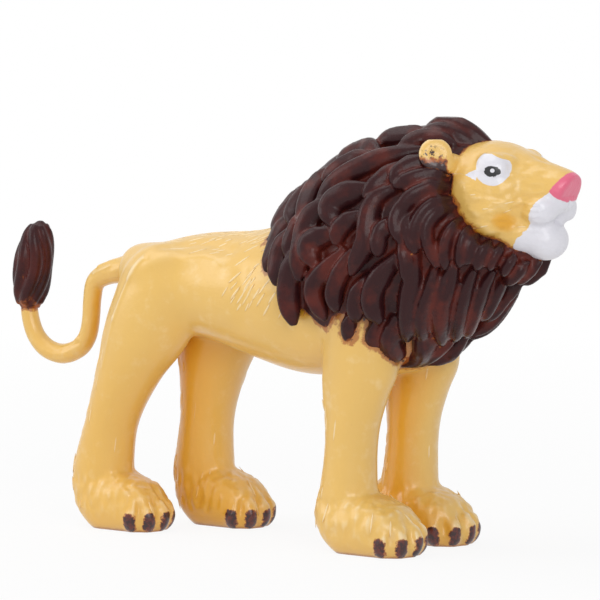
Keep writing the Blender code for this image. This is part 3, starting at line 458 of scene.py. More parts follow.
def store_shelter(skin, tree):
    """Stores how much of the sky and the ground each point is hidden from, as 0 to 1, with the
    legs' inner sides counted as hidden; the paint turns it into painted shade.
    """
    draws = np.random.default_rng(SEED)
    count = len(skin.points)
    open_share = np.zeros(count)
    starts = skin.points + skin.normals * SHELTER_LIFT
    for _ in range(SHELTER_RAYS):
        spread = draws.normal(size=(count, 3))
        spread /= np.linalg.norm(spread, axis=1, keepdims=True)
        ways = skin.normals * SHELTER_SPREAD + spread
        free = [
            tree.ray_cast(start, way, SHELTER_REACH)[0] is None
            for start, way in zip(starts.tolist(), ways.tolist())
        ]
        open_share += free
    shelter = 1 - open_share / SHELTER_RAYS
    _, across, height = skin.places()
    inner = np.clip(-skin.normals[:, 1] * np.sign(across), 0, 1) * ramp(height, *INNER_HEIGHTS)
    shelter = np.maximum(shelter, INNER_SHELTER * inner)
    skin.store("shelter", skin.smoothed(shelter, SHELTER_PASSES))


# Paint


class Value:
    """A socket in a paint's tree; arithmetic on it adds Math nodes."""

    def __init__(self, paint, socket):
        self.paint = paint
        self.socket = socket

    def __add__(self, other):
        return self.paint.math("ADD", self, other)

    def __sub__(self, other):
        return self.paint.math("SUBTRACT", self, other)

    def __rsub__(self, other):
        return self.paint.math("SUBTRACT", other, self)

    def __mul__(self, other):
        return self.paint.math("MULTIPLY", self, other)

    def __truediv__(self, other):
        return self.paint.math("DIVIDE", self, other)

    def __neg__(self):
        return self.paint.math("MULTIPLY", self, -1.0)

    __radd__ = __add__


class Paint:
    """One material's tree. Places in it are millimetres from the figure's own ground point."""

    def __init__(self, name):
        self.material = bpy.data.materials.new(name)
        self.material.use_nodes = True
        self.tree = self.material.node_tree
        self.shader = self.tree.nodes["Principled BSDF"]
        coordinates = self.node("ShaderNodeTexCoord", output="Object")
        moved = self.vector("SUBTRACT", coordinates, tuple(FIGURE_PLACE))
        self.place = self.vector("SCALE", moved, 1 / MM, "Scale")
        self.x = self.node("ShaderNodeSeparateXYZ", {}, {0: self.place}, "X")
        self.z = self.node("ShaderNodeSeparateXYZ", {}, {0: self.place}, "Z")

    def node(self, kind, settings=None, inputs=None, output=0):
        """Adds a node whose inputs can be values, and gives one of its outputs as a value."""
        plain = {key: getattr(value, "socket", value) for key, value in (inputs or {}).items()}
        return Value(self, add_node(self.tree, kind, settings, plain).outputs[output])

    def math(self, operation, a, b=0.0):
        return self.node("ShaderNodeMath", {"operation": operation}, {0: a, 1: b})

    def vector(self, operation, a, b, socket=1, output=0):
        inputs = {0: a, socket: b}
        return self.node("ShaderNodeVectorMath", {"operation": operation}, inputs, output)

    def least(self, *values):
        return functools.reduce(functools.partial(self.math, "MINIMUM"), values)

    def most(self, a, b):
        return self.math("MAXIMUM", a, b)

    def eased(self, value, low, high):
        """0 below low, 1 above high, and smooth between."""
        inputs = {"Value": value, "From Min": low, "From Max": high}
        return self.node("ShaderNodeMapRange", {"interpolation_type": "SMOOTHSTEP"}, inputs)

    def curve(self, value, places, low, high):
        """A smooth curve through places, each a value and what it gives, between low and high."""
        start, end = places[0][0], places[-1][0]
        inputs = {"Value": value, "From Min": start, "From Max": end}
        climb = self.node("ShaderNodeMapRange", {}, inputs)
        made = self.node("ShaderNodeFloatCurve", {}, {"Value": climb})
        mapping = made.socket.node.mapping
        points = mapping.curves[0].points
        while len(points) < len(places):
            points.new(0.5, 0.5)
        for point, (at, given) in zip(points, places):
            point.location = ((at - start) / (end - start), (given - low) / (high - low))
        mapping.update()
        return made * (high - low) + low

    def attribute(self, name):
        return self.node("ShaderNodeAttribute", {"attribute_name": name}, output="Fac")

    def noise(self, size, detail=2.0, roughness=0.5, stretch=None):
        """Noise from 0 to 1 whose lumps are about a size in millimetres."""
        place = self.vector("MULTIPLY", self.place, stretch) if stretch else self.place
        inputs = {"Vector": place, "Scale": 1 / size, "Detail": detail, "Roughness": roughness}
        return self.node("ShaderNodeTexNoise", {}, inputs)

    def mixed(self, factor, a, b):
        """Colour a where the factor is 0, colour b where it is 1."""
        a, b = (colour if isinstance(colour, Value) else (*colour, 1.0) for colour in (a, b))
        return self.node("ShaderNodeMix", {"data_type": "RGBA"}, {0: factor, 6: a, 7: b}, 2)

    def feed(self, name, value):
        if isinstance(value, Value):
            self.tree.links.new(value.socket, self.shader.inputs[name])
        else:
            self.shader.inputs[name].default_value = value

    def bump(self, height, distance):
        """Relief from a height of 0 to 1 that stands for a distance in metres."""
        inputs = {"Height": height, "Distance": distance}
        self.feed("Normal", self.node("ShaderNodeBump", {}, inputs))


# Where the yellow plastic changes, each from where that sets in to where it's full: painted shade
# turns sheltered places and hollows orange, painted highlight turns crests pale, and rubbed spots
# turn pale too; hollows and crests in millimetres
SHELTER_SHADE_EDGE = (0.16, 0.85)
HOLLOW_SHADE_EDGE = (0.08, 0.45)
CREST_HIGHLIGHT_EDGE = (0.03, 0.22)
RUBBED_EDGE = (0.52, 0.78)
# Where strayed brown paint is thin, and where it covers
STRAYED_THIN = (0.35, 0.75)
STRAYED_FULL = (0.95, 1.15)
COAT_ROUGHNESS = 0.12
PLASTIC_IOR = 1.5
# Each paint's roughness, how much that varies, its coat and its specular level
BODY_GLOSS = (0.34, 0.16, 0.25, 0.5)
FACE_GLOSS = (0.33, 0.16, 0.25, 0.5)
HAIR_GLOSS = (0.30, 0.20, 0.08, 0.16)
BODY_RELIEF = 0.12 * MM
FACE_RELIEF = 0.22 * MM
HAIR_RELIEF = 0.14 * MM


def fur_colour(paint, colours):
    """Yellow plastic: orange painted shade where it is sheltered, paler painted highlight on its
    crests, and a little uneven.
    """
    hollow = paint.attribute("hollow")
    cloud = paint.noise(9.0, 3.0) - 0.5
    # Painted shade: orange where the skin is sheltered and in its hollows
    shade = paint.eased(paint.attribute("shelter") + cloud * 0.25, *SHELTER_SHADE_EDGE)
    shade = paint.most(shade, paint.eased(hollow, *HOLLOW_SHADE_EDGE) * 0.75)
    base = paint.mixed(shade, colours.yellow, colours.orange)
    # Painted highlight: paler on the crests, and paler in rubbed spots too, except where the
    # painted shade lies
    crest = paint.eased(-hollow, *CREST_HIGHLIGHT_EDGE) * 0.85
    rubbed = paint.eased(paint.noise(3.2, 4.0, 0.6), *RUBBED_EDGE) * 0.35
    highlight_and_rubbed = paint.most(crest, rubbed) * (1 - shade)
    return paint.mixed(highlight_and_rubbed, base, colours.pale)


def finish_plastic(paint, roughness, variation, coat, specular):
    """Gloss of moulded soft plastic with faint smudges."""
    smudge = paint.noise(4.0, 3.0)
    paint.feed("Roughness", roughness + (smudge - 0.5) * variation)
    paint.feed("Coat Weight", coat)
    paint.feed("Coat Roughness", COAT_ROUGHNESS)
    paint.feed("IOR", PLASTIC_IOR)
    paint.feed("Specular IOR Level", specular)


def bleed_over(paint, base, colours):
    """Brown paint that strayed from the mane onto the yellow plastic."""
    patch = paint.noise(1.1, 3.0, 0.6) - 0.5
    bleed = paint.attribute("bleed") + patch * 1.6
    washed = paint.mixed(paint.eased(bleed, *STRAYED_THIN) * 0.8, base, colours.rust)
    return paint.mixed(paint.eased(bleed, *STRAYED_FULL), washed, colours.brown)


# The hind legs are coloured a little more orange than the rest, under and behind these places
HIND_LEG_SHARE = 0.22
HIND_LEG_TOP = (22.0, 46.0)
HIND_LEG_FRONT = (-10.0, 0.0)
SOLE_EDGE = (0.35, 0.95)
# A claw's middle and half height in claw heights, and how far out from the paw's middle it sets in
CLAW_MIDDLE_SHARE = 0.53
CLAW_HALF_SHARE = 0.5
CLAW_OUT = (1.0, 3.0)
# The claw's brown ends inside its rust, and is redder in spots
CLAW_RIM = (0.70, 1.0)
CLAW_RUST_RIM = (0.95, 1.3)
CLAW_RED_SPOTS = (0.40, 0.62)


def fur_paint(name, colours, claws=()):
    """The body's plastic, with painted claws where a paw has them."""
    paint = Paint(name)
    base = fur_colour(paint, colours)
    hind = (1 - paint.eased(paint.z, *HIND_LEG_TOP)) * (1 - paint.eased(paint.x, *HIND_LEG_FRONT))
    base = paint.mixed(hind * HIND_LEG_SHARE, base, colours.orange)
    base = bleed_over(paint, base, colours)
    # The paws turn rust-coloured along their bottom edge, just over the ground
    sole = 1 - paint.eased(paint.z + paint.noise(2.0) * 0.6, *SOLE_EDGE)
    base = paint.mixed(sole * 0.7, base, colours.rust)
    if claws:
        wobble = paint.noise(0.9, 3.0, 0.65)
        off = []
        for centre, turn, half_width, height in claws:
            across = Vector((-math.sin(turn), math.cos(turn), 0.0)) / half_width
            ahead = Vector((math.cos(turn), math.sin(turn), 0.0))
            t, out = (
                paint.vector("DOT_PRODUCT", paint.place, way, output="Value") - way.dot(centre)
                for way in (across, ahead)
            )
            rise = (paint.z - CLAW_MIDDLE_SHARE * height) / (CLAW_HALF_SHARE * height)
            round_off = t * t + rise * rise * rise * rise
            off.append(round_off + (1 - paint.eased(out, *CLAW_OUT)) * 4.0)
        edge = paint.least(*off) + (wobble - 0.5) * 2.2
        red = paint.eased(wobble, *CLAW_RED_SPOTS)
        claw = paint.mixed(red, colours.brown, colours.red_brown)
        base = paint.mixed((1 - paint.eased(edge, *CLAW_RUST_RIM)) * 0.9, base, colours.rust)
        base = paint.mixed(1 - paint.eased(edge, *CLAW_RIM), base, claw)
    paint.feed("Base Color", base)
    finish_plastic(paint, *BODY_GLOSS)
    grain = paint.noise(0.7, 3.0, 0.6) * 0.35 + paint.noise(2.6, 2.0) * 0.65
    paint.bump(grain, BODY_RELIEF)
    return paint.material


EYE_MIDDLE = (45.9, 72.65)
EYE_HALF = (2.9, 3.1)
EYE_LEAN = 0.2
# The brow covers the top of the eye's white, and comes lower from a place on towards the nose
BROW_HEIGHT = 75.3
BROW_START = 45.5
BROW_SLOPE = 0.45
BROW_SHARPNESS = 3.0
# The eye's white runs back to a point, and spreads from it
EYE_TAIL = (41.2, 71.5)
EYE_TAIL_SPREAD = 0.5
EYE_TAIL_END = (43.5, 44.0)
PUPIL_MIDDLE = (46.3, 72.15)
PUPIL_HALF = (1.5, 0.98)
GLINT_MIDDLE = (46.45, 72.3)
GLINT_HALF = (0.40, 0.38)
# The white muzzle's rear edge: each height in millimetres and the place along the head there
MUZZLE_EDGE = (
    (54.0, 50.6),
    (55.6, 49.6),
    (57.2, 48.9),
    (59.4, 49.8),
    (60.9, 51.2),
    (63.0, 52.3),
    (66.0, 53.6),
    (68.6, 56.0),
    (70.0, 60.0),
)
MUZZLE_REACH = (46.0, 62.0)
# The pink wedge lies under one slanting line and over another: a place on each, its slope and its
# sharpness, less than 0 for the line that the wedge lies under
NOSE_TOP = (56.9, 70.3, 1.44, -0.57)
NOSE_FOOT = (56.8, 67.5, -0.95, 0.72)
# Painted shade in the dimple at each corner of the mouth
DIMPLE_SHADE_MIDDLE = (48.2, 62.9)
DIMPLE_SHADE_HALF = (1.9, 2.2)
EAR_SPECK_MIDDLE = (35.8, 75.2)
EAR_SPECK_HALF = (2.4, 1.7)
# The ear is brown under a height and behind a place, by way of rust
EAR_PAINT_TOP = (73.3, 75.1)
EAR_PAINT_FRONT = (38.3, 38.9)
EAR_RUST = (0.1, 0.5)
EAR_BROWN = (0.5, 0.9)
# How sharp the painted outlines are
DIMPLE_SHADE_RIM = (0.1, 1.1)
EAR_SPECK_RIM = (0.3, 1.2)
EAR_SPECKS = (0.52, 0.60)
MUZZLE_RIM = (-0.12, 0.12)
NOSE_RIM = (-0.1, 0.1)
EYE_RIM = (0.95, 1.05)
PUPIL_RIM = (0.9, 1.1)
GLINT_RIM = (0.85, 1.15)


def face_paint(name, colours):
    """The head's plastic with its white muzzle, pink nose, eyes, speckled ears and painted shade in
    the mouth's dimples.
    """
    paint = Paint(name)
    wander = paint.noise(1.4, 3.0, 0.6) - 0.5

    def oval(middle, half, rough=0.0, lean=0.0):
        u = (paint.x - middle[0] + (paint.z - middle[1]) * lean) / half[0]
        v = (paint.z - middle[1]) / half[1]
        return u * u + v * v + wander * rough

    base = fur_colour(paint, colours)
    # Painted shade: orange in the mouth's dimples
    dimple_shade = 1 - paint.eased(oval(DIMPLE_SHADE_MIDDLE, DIMPLE_SHADE_HALF, 0.6), *DIMPLE_SHADE_RIM)
    base = paint.mixed(dimple_shade, base, colours.orange)
    speck = paint.eased(paint.noise(0.8, 3.0, 0.7), *EAR_SPECKS)
    behind = 1 - paint.eased(oval(EAR_SPECK_MIDDLE, EAR_SPECK_HALF, 0.6), *EAR_SPECK_RIM)
    base = paint.mixed(speck * behind, base, colours.brown)
    base = bleed_over(paint, base, colours)
    under = 1 - paint.eased(paint.z + wander * 2.5, *EAR_PAINT_TOP)
    under = under * (1 - paint.eased(paint.x + wander, *EAR_PAINT_FRONT))
    base = paint.mixed(paint.eased(under, *EAR_RUST), base, colours.rust)
    base = paint.mixed(paint.eased(under, *EAR_BROWN), base, colours.brown)
    white = paint.x - paint.curve(paint.z, MUZZLE_EDGE, *MUZZLE_REACH) + wander * 1.3
    base = paint.mixed(paint.eased(white, *MUZZLE_RIM), base, colours.white)
    sides = [
        (paint.z - z - (paint.x - x) * slope) * sharpness
        for x, z, slope, sharpness in (NOSE_TOP, NOSE_FOOT)
    ]
    nose = paint.least(*sides) + wander * 0.5
    base = paint.mixed(paint.eased(nose, *NOSE_RIM), base, colours.pink)
    off = paint.math("ABSOLUTE", paint.z - EYE_TAIL[1] + wander * 0.7)
    tail = off / paint.most((paint.x - EYE_TAIL[0]) * EYE_TAIL_SPREAD, 0.01)
    tail = tail + paint.eased(paint.x, *EYE_TAIL_END) * 9.0
    brow = paint.z - BROW_HEIGHT + paint.most(paint.x - BROW_START, 0.0) * BROW_SLOPE
    white = paint.most(oval(EYE_MIDDLE, EYE_HALF, 0.35, EYE_LEAN), brow * BROW_SHARPNESS + 1.0)
    eye = paint.least(white, tail)
    base = paint.mixed(1 - paint.eased(eye, *EYE_RIM), base, colours.white)
    ragged = (paint.noise(0.5, 3.0, 0.6) - 0.5) * 1.2
    pupil = oval(PUPIL_MIDDLE, PUPIL_HALF, 0.4) + ragged
    base = paint.mixed(1 - paint.eased(pupil, *PUPIL_RIM), base, colours.black)
    glint = oval(GLINT_MIDDLE, GLINT_HALF)
    base = paint.mixed(1 - paint.eased(glint, *GLINT_RIM), base, colours.white)
    paint.feed("Base Color", base)
    finish_plastic(paint, *FACE_GLOSS)
    streaks = paint.noise(1.1, 3.0, 0.6, stretch=(0.35, 1.0, 1.0))
    paint.bump(streaks * 0.6 + paint.noise(2.4, 2.0) * 0.4, FACE_RELIEF)
    return paint.material


# How bright the paint is where painted shade darkens the deepest grooves of the hair
GROOVE_SHADE_SHARE = 0.30
# Depths in millimetres from which the hair is redder, darkened by painted shade and worn, each from
# none to full, then the clouds and the rims where it's worn, and where the plastic shows through
RED_EDGE = (-0.15, 0.25)
GROOVE_SHADE_EDGE = (0.20, 0.60)
WORN_EDGE = (0.34, 0.58)
WORN_CLOUDS = (0.47, 0.58)
WORN_RIM = (0.75, 1.10)
THROUGH_EDGE = (0.80, 1.0)
THROUGH_SPOTS = (0.54, 0.64)


def hair_paint(name, colours, worn_low=None, red_share=0.8):
    """Dark brown paint over the yellow plastic: redder in the grooves, with painted shade in the
    deepest, worn through in spots.
    """
    paint = Paint(name)
    hollow = paint.attribute("hollow")
    cloud = paint.noise(7.0, 3.0, 0.6)
    patch = paint.noise(2.3, 4.0, 0.65)
    spots = patch - 0.5
    red = paint.eased(hollow + (cloud - 0.5) * 1.2, *RED_EDGE)
    base = paint.mixed(red * red_share, colours.brown, colours.red_brown)
    # Painted shade: the deepest grooves darkened
    deep = paint.eased(hollow + spots * 0.3, *GROOVE_SHADE_EDGE)
    base = paint.mixed(deep * 0.8, base, colours.brown * GROOVE_SHADE_SHARE)
    worn = paint.eased(hollow + spots * 2.0, *WORN_EDGE) * paint.eased(cloud, *WORN_CLOUDS)
    edge = paint.eased(paint.attribute("bleed") + spots * 2.4, *WORN_RIM) * 0.8
    worn = paint.most(worn, edge)
    if worn_low:
        worn = paint.most(worn, 1 - paint.eased(paint.z + spots * 7.0, *worn_low))
    base = paint.mixed(worn * 0.9, base, colours.rust)
    through = paint.eased(worn, *THROUGH_EDGE) * paint.eased(patch, *THROUGH_SPOTS)
    base = paint.mixed(through * 0.7, base, colours.orange)
    paint.feed("Base Color", base)
    finish_plastic(paint, *HAIR_GLOSS)
    grain = paint.noise(0.8, 4.0, 0.65) * 0.5 + paint.noise(2.0, 2.0) * 0.5
    paint.bump(grain, HAIR_RELIEF)
    return paint.material


# Trees of geometry nodes


class Rig:
    """A tree of geometry nodes with named inputs for its sizes, given by their kinds."""

    def __init__(self, name, **sizes):
        self.tree = bpy.data.node_groups.new(name, "GeometryNodeTree")
        faces = self.tree.interface
        faces.new_socket("Geometry", in_out="INPUT", socket_type="NodeSocketGeometry")
        self.sockets = {}
        for kind, labels in sizes.items():
            for label in labels:
                made = faces.new_socket(label, in_out="INPUT", socket_type="NodeSocket" + kind)
                self.sockets[label] = made.identifier
        faces.new_socket("Geometry", in_out="OUTPUT", socket_type="NodeSocketGeometry")
        self.start = self.tree.nodes.new("NodeGroupInput")
        self.end = self.tree.nodes.new("NodeGroupOutput")

    def size(self, label):
        return self.start.outputs[label]

    def node(self, kind, settings=None, inputs=None):
        """Adds a node and gives its first output."""
        return add_node(self.tree, kind, settings, inputs).outputs[0]

    def stored(self, name, kind="FLOAT"):
        return self.node("GeometryNodeInputNamedAttribute", {"data_type": kind}, {"Name": name})

    def close(self, geometry):
        """Ends the tree in real geometry with the material that it was given."""
        real = self.node("GeometryNodeRealizeInstances", {}, {0: geometry})
        inputs = {0: real, "Material": self.size("Material")}
        painted = self.node("GeometryNodeSetMaterial", {}, inputs)
        self.tree.links.new(painted, self.end.inputs[0])

    def apply(self, obj, values):
        """Runs the tree on an object and keeps the result as its plain mesh."""
        step = obj.modifiers.new(self.tree.name, "NODES")
        step.node_group = self.tree
        for label, value in values.items():
            step[self.sockets[label]] = value
        return finished_mesh(obj)


def leaning_ring(rig, ring):
    """The ring with its top drawn up to a crest and pushed to one side."""

    def product(a, b):
        return rig.node("ShaderNodeMath", {"operation": "MULTIPLY"}, {0: a, 1: b})

    place = rig.node("GeometryNodeInputPosition")
    height = rig.node("ShaderNodeSeparateXYZ", {}, {0: place})
    square = product(height, height)
    up = product(product(square, height), rig.size("Crest"))
    over = product(square, rig.size("Lean"))
    shift = rig.node("ShaderNodeCombineXYZ", {}, {0: up, 1: over})
    return rig.node("GeometryNodeSetPosition", {}, {0: ring, "Offset": shift})


STRAND_RESOLUTION = 4


def strand_rig():
    """Thick strands along drawn lines, as thick at each point as the line says."""
    rig = Rig("hair_strands", Int=("Sides",), Float=("Lean", "Crest"), Material=("Material",))
    line = rig.node("GeometryNodeMeshToCurve", {}, {0: rig.size("Geometry")})
    smooth = rig.node("GeometryNodeCurveSplineType", {"spline_type": "CATMULL_ROM"}, {0: line})
    inputs = {0: smooth, "Normal": rig.stored("facing", "FLOAT_VECTOR")}
    upright = rig.node("GeometryNodeSetCurveNormal", {"mode": "FREE"}, inputs)
    inputs = {0: upright, "Resolution": STRAND_RESOLUTION}
    fine = rig.node("GeometryNodeSetSplineResolution", {}, inputs)
    inputs = {"Resolution": rig.size("Sides"), "Radius": 1.0}
    ring = leaning_ring(rig, rig.node("GeometryNodeCurvePrimitiveCircle", {}, inputs))
    inputs = {0: fine, 1: ring, "Scale": rig.stored("girth"), "Fill Caps": True}
    rig.close(rig.node("GeometryNodeCurveToMesh", {}, inputs))
    return rig


# Strokes are painted as crests this high, in millimetres, so that they get a painted highlight
STROKE_HIGHLIGHT_CREST = -0.35
# Least and greatest length, width and height of a stroke, in shares of the sizes set
STROKE_SHARES = ((0.5, 0.7, 0.6), (1.3, 1.3, 1.5))
STROKE_SIDES = 6


def fur_rig():
    """Short raised strokes that lie along the fur all over a skin, thick where it says so."""
    box = ("Length", "Width", "Height")
    spread = ("Spacing", "Density")
    rig = Rig("fur_strokes", Float=box + spread, Int=("Seed",), Material=("Material",))
    skin, seed = rig.size("Geometry"), rig.size("Seed")
    points = rig.node(
        "GeometryNodeDistributePointsOnFaces",
        {"distribute_method": "POISSON"},
        {
            0: skin,
            "Distance Min": rig.size("Spacing"),
            "Density Max": rig.size("Density"),
            "Density Factor": rig.stored("fur"),
            "Seed": seed,
        },
    )
    align = "FunctionNodeAlignRotationToVector"
    stand = rig.node(align, {"axis": "Z"}, {"Vector": points.node.outputs["Normal"]})
    inputs = {"Rotation": stand, "Vector": rig.stored("flow", "FLOAT_VECTOR")}
    lie = rig.node(align, {"axis": "X", "pivot_axis": "Z"}, inputs)
    inputs = {"Segments": STROKE_SIDES, "Rings": STROKE_SIDES, "Radius": 0.5}
    grain = rig.node("GeometryNodeMeshUVSphere", {}, inputs)
    sizes = {index: rig.size(label) for index, label in enumerate(box)}
    inputs = {0: grain, "Scale": rig.node("ShaderNodeCombineXYZ", {}, sizes)}
    stroke = rig.node("GeometryNodeTransform", {}, inputs)
    # Each stroke gets a crest's depth, which the paint turns into a painted highlight
    pale = rig.node(
        "GeometryNodeStoreNamedAttribute",
        {"data_type": "FLOAT", "domain": "POINT"},
        {
            0: rig.node("GeometryNodeSetShadeSmooth", {}, {0: stroke}),
            "Name": "hollow",
            "Value": STROKE_HIGHLIGHT_CREST,
        },
    )
    inputs = {0: STROKE_SHARES[0], 1: STROKE_SHARES[1], "Seed": seed}
    varied = rig.node("FunctionNodeRandomValue", {"data_type": "FLOAT_VECTOR"}, inputs)
    inputs = {0: points, "Instance": pale, "Rotation": lie, "Scale": varied}
    laid = rig.node("GeometryNodeInstanceOnPoints", {}, inputs)
    both = add_node(rig.tree, "GeometryNodeJoinGeometry")
    for geometry in (laid, skin):
        rig.tree.links.new(geometry, both.inputs[0])
    rig.close(both.outputs[0])
    return rig


# Torso, legs and paws


# Each row: place along the length, rise of the middle, half height, half width
TORSO_SHARES = (
    (0.000, 0.045, 0.085, 0.08),
    (0.018, 0.045, 0.165, 0.15),
    (0.060, 0.025, 0.225, 0.24),
    (0.130, 0.000, 0.258, 0.34),
    (0.220, -0.008, 0.322, 0.40),
    (0.320, -0.020, 0.365, 0.42),
    (0.430, -0.050, 0.415, 0.44),
    (0.580, -0.055, 0.500, 0.48),
    (0.720, -0.030, 0.525, 0.50),
    (0.850, -0.020, 0.515, 0.49),
    (0.930, -0.03, 0.455, 0.42),
    (0.985, -0.06, 0.340, 0.30),
    (1.000, -0.07, 0.180, 0.16),
)
# Each row: height as a share of the seam height, forward shift, and half thickness along and across
# the figure, in leg radii
FRONT_LEG_SHARES = (
    (1.45, 0.50, 1.25, 1.20),
    (1.20, 0.45, 1.32, 1.17),
    (1.06, 0.40, 1.32, 1.10),
    (0.93, 0.24, 1.13, 1.05),
    (0.76, 0.10, 0.93, 1.00),
    (0.60, 0.03, 0.87, 0.98),
    (0.42, -0.05, 0.96, 1.00),
    (0.32, -0.08, 1.02, 1.04),
    (0.22, -0.08, 0.98, 1.00),
    (0.12, 0.00, 0.82, 0.85),
    (0.05, 0.05, 0.60, 0.62),
)
# The same for a hind leg, which fans out into its haunch; the shift is a share of the thigh's lean
HIND_LEG_SHARES = (
    (1.63, 1.40, 0.30, 0.24),
    (1.60, 1.37, 0.88, 0.70),
    (1.49, 1.27, 1.38, 1.07),
    (1.37, 1.25, 1.62, 1.25),
    (1.22, 1.10, 1.74, 1.32),
    (1.10, 0.95, 1.67, 1.30),
    (0.99, 0.78, 1.47, 1.23),
    (0.86, 0.52, 1.20, 1.14),
    (0.70, 0.27, 0.98, 1.05),
    (0.57, 0.10, 0.93, 1.00),
    (0.45, 0.00, 1.00, 0.98),
    (0.33, -0.07, 1.09, 1.00),
    (0.22, -0.06, 1.05, 0.98),
    (0.12, 0.00, 0.85, 0.85),
    (0.05, 0.05, 0.62, 0.62),
)
LEG_SHARES = {"front": FRONT_LEG_SHARES, "hind": HIND_LEG_SHARES}
# Each row: place along the paw from the heel, half width, and top and bottom in paw heights
PAW_SHARES = (
    (0.00, 0.10, 0.80, 0.62),
    (0.03, 0.24, 0.92, 0.40),
    (0.10, 0.37, 1.00, 0.18),
    (0.20, 0.44, 1.04, 0.00),
    (0.30, 0.47, 1.04, -0.10),
    (0.45, 0.49, 1.00, -0.10),
    (0.62, 0.50, 0.90, -0.10),
    (0.76, 0.46, 0.79, -0.10),
    (0.85, 0.36, 0.66, -0.10),
    (0.89, 0.22, 0.50, -0.10),
)
PAW_SQUARENESS = 0.8
# The toes stand on an arc around a point under the paw
PAW_ARC_SHARE = 0.686
TOE_REACH_SHARE = 0.62
TOE_TURNS = tuple(math.radians(turn) for turn in (-78, -40, -4, 30))
TOE_SHAPE_SHARES = Vector((1.06, 0.86, 1.30))
TOE_RISE_SHARE = 1.15


class Limb:
    """One leg: where it stands, and its paw."""

    def __init__(self, legs, side, kind, lean):
        word = ("left_" if side > 0 else "right_") + kind
        self.node = word + "_leg"
        self.rows = LEG_SHARES[kind]
        self.lean = lean
        self.x = getattr(legs, word + "_x")
        self.y = side * getattr(legs, kind + "_y")
        self.heel_x = self.x - getattr(legs, word + "_heel")
        self.radius = getattr(legs, kind + "_radius")
        self.seam = getattr(legs, kind + "_seam")
        self.paw_length = getattr(legs, kind + "_paw_length")
        self.paw_width = getattr(legs, kind + "_paw_width")
        self.arc = Vector((self.heel_x + PAW_ARC_SHARE * self.paw_length, self.y, 0))


def limbs(legs):
    return (
        Limb(legs, -1, "front", legs.front_radius),
        Limb(legs, 1, "front", legs.front_radius),
        Limb(legs, -1, "hind", legs.right_thigh_lean),
        Limb(legs, 1, "hind", legs.left_thigh_lean),
    )


def add_leg(clay, limb, legs):
    sections = []
    for height, forward, along, across in eased(limb.rows, ROW_STEPS["body"]):
        centre = Vector((limb.x + forward * limb.lean, limb.y, height * limb.seam))
        sections.append((centre, ALONG * (along * limb.radius), ACROSS * (across * limb.radius)))
    clay.loft(sections)
    sections = []
    for along, half_width, top, bottom in eased(PAW_SHARES, ROW_STEPS["body"]):
        half_height = (top - bottom) / 2 * legs.paw_height
        height = bottom * legs.paw_height + half_height
        centre = Vector((limb.heel_x + along * limb.paw_length, limb.y, height))
        sections.append((centre, ACROSS * (half_width * limb.paw_width), UP * half_height))
    clay.loft(sections, squareness=PAW_SQUARENESS)
    middle = limb.arc + UP * (TOE_RISE_SHARE * legs.toe_radius)
    for turn in TOE_TURNS:
        way = Vector((math.cos(turn), math.sin(turn), 0))
        centre = middle + way * (TOE_REACH_SHARE * limb.paw_width / 2)
        radii = legs.toe_radius * TOE_SHAPE_SHARES
        clay.ball(centre, radii, Matrix.Rotation(turn, 4, "Z"))


def body_skin(torso, legs):
    """Torso, haunches, legs and paws as one moulded skin in fine grain."""
    clay = Clay()
    sections = []
    for along, rise, half_height, half_width in eased(TORSO_SHARES, ROW_STEPS["body"]):
        height = torso.centre_height + rise * torso.height
        centre = Vector((torso.rump_x + along * torso.length, 0, height))
        half_u = ACROSS * (half_width * torso.width)
        sections.append((centre, half_u, UP * (half_height * torso.height)))
    clay.loft(sections)
    for limb in limbs(legs):
        add_leg(clay, limb, legs)
    return clay.moulded("body_skin", torso.voxel, SOFTENING["body"])


# A gap between toes: how far out and how high it runs in half paw widths and paw heights, and its
# reach and height in millimetres
TOE_GAP_SHARES = ((0.50, 0.62), (0.86, 0.42), (1.02, 0.20), (1.00, 0.0))
TOE_GAP_REACH = 0.7
TOE_GAP_HEIGHT = -0.4
# The uneven relief of the paws, between the soles and the ankles
PAW_LUMP = (1.3, 1.3, 2.4)
PAW_LUMP_HEIGHT = 0.34
PAW_LUMP_FOOT = (2, 4)
PAW_LUMP_TOP = (13, 9)
# Where the haunches are smoothed into the back and the flanks
HAUNCH_FOOT = (36, 40)
HAUNCH_FRONT = (-2, -8)
HAUNCH_PASSES = 90
# The fold over the haunch
HAUNCH_FOLD = (
    (-30, 13, 50.6),
    (-27, 12.4, 52.4),
    (-24, 11.2, 53.2),
    (-16.4, 9.6, 53.6),
    (-12.8, 10.5, 52.8),
)
# Folds and muscles on the lion's left, mirrored on its right: a path in millimetres, its reach and
# its height
BODY_MARKS = (
    (HAUNCH_FOLD, 1.6, 0.5),
    (((-10.2, 11.7, 51), (-8.6, 12.7, 47.5), (-9.2, 12.4, 43.5)), 2.4, 0.25),
    (((-26, 9.6, 55.6), (-21, 6.6, 56.2), (-16.5, 6.8, 56.2), (-11, 8.6, 55.2)), 1.5, -0.4),
    (((-6.4, 11.9, 51.5), (-5, 12.9, 47), (-6, 12.6, 42)), 1.8, -0.3),
    (((-28.7, 12.6, 53.3), (-30.5, 13.5, 50.6), (-32.2, 13.7, 48), (-35, 13.8, 41.5)), 0.5, 0.35),
    (((-28.6, 11.8, 54.8), (-30.1, 13, 52.1), (-31.6, 13.5, 49.4)), 0.45, 0.3),
    (((-35, 13.8, 41.5), (-36.3, 13.7, 37.2), (-38, 13.4, 32)), 0.5, 0.2),
    (((12.8, 13.5, 42), (12.6, 12.6, 36), (12.4, 13, 28)), 1.2, 0.3),
)


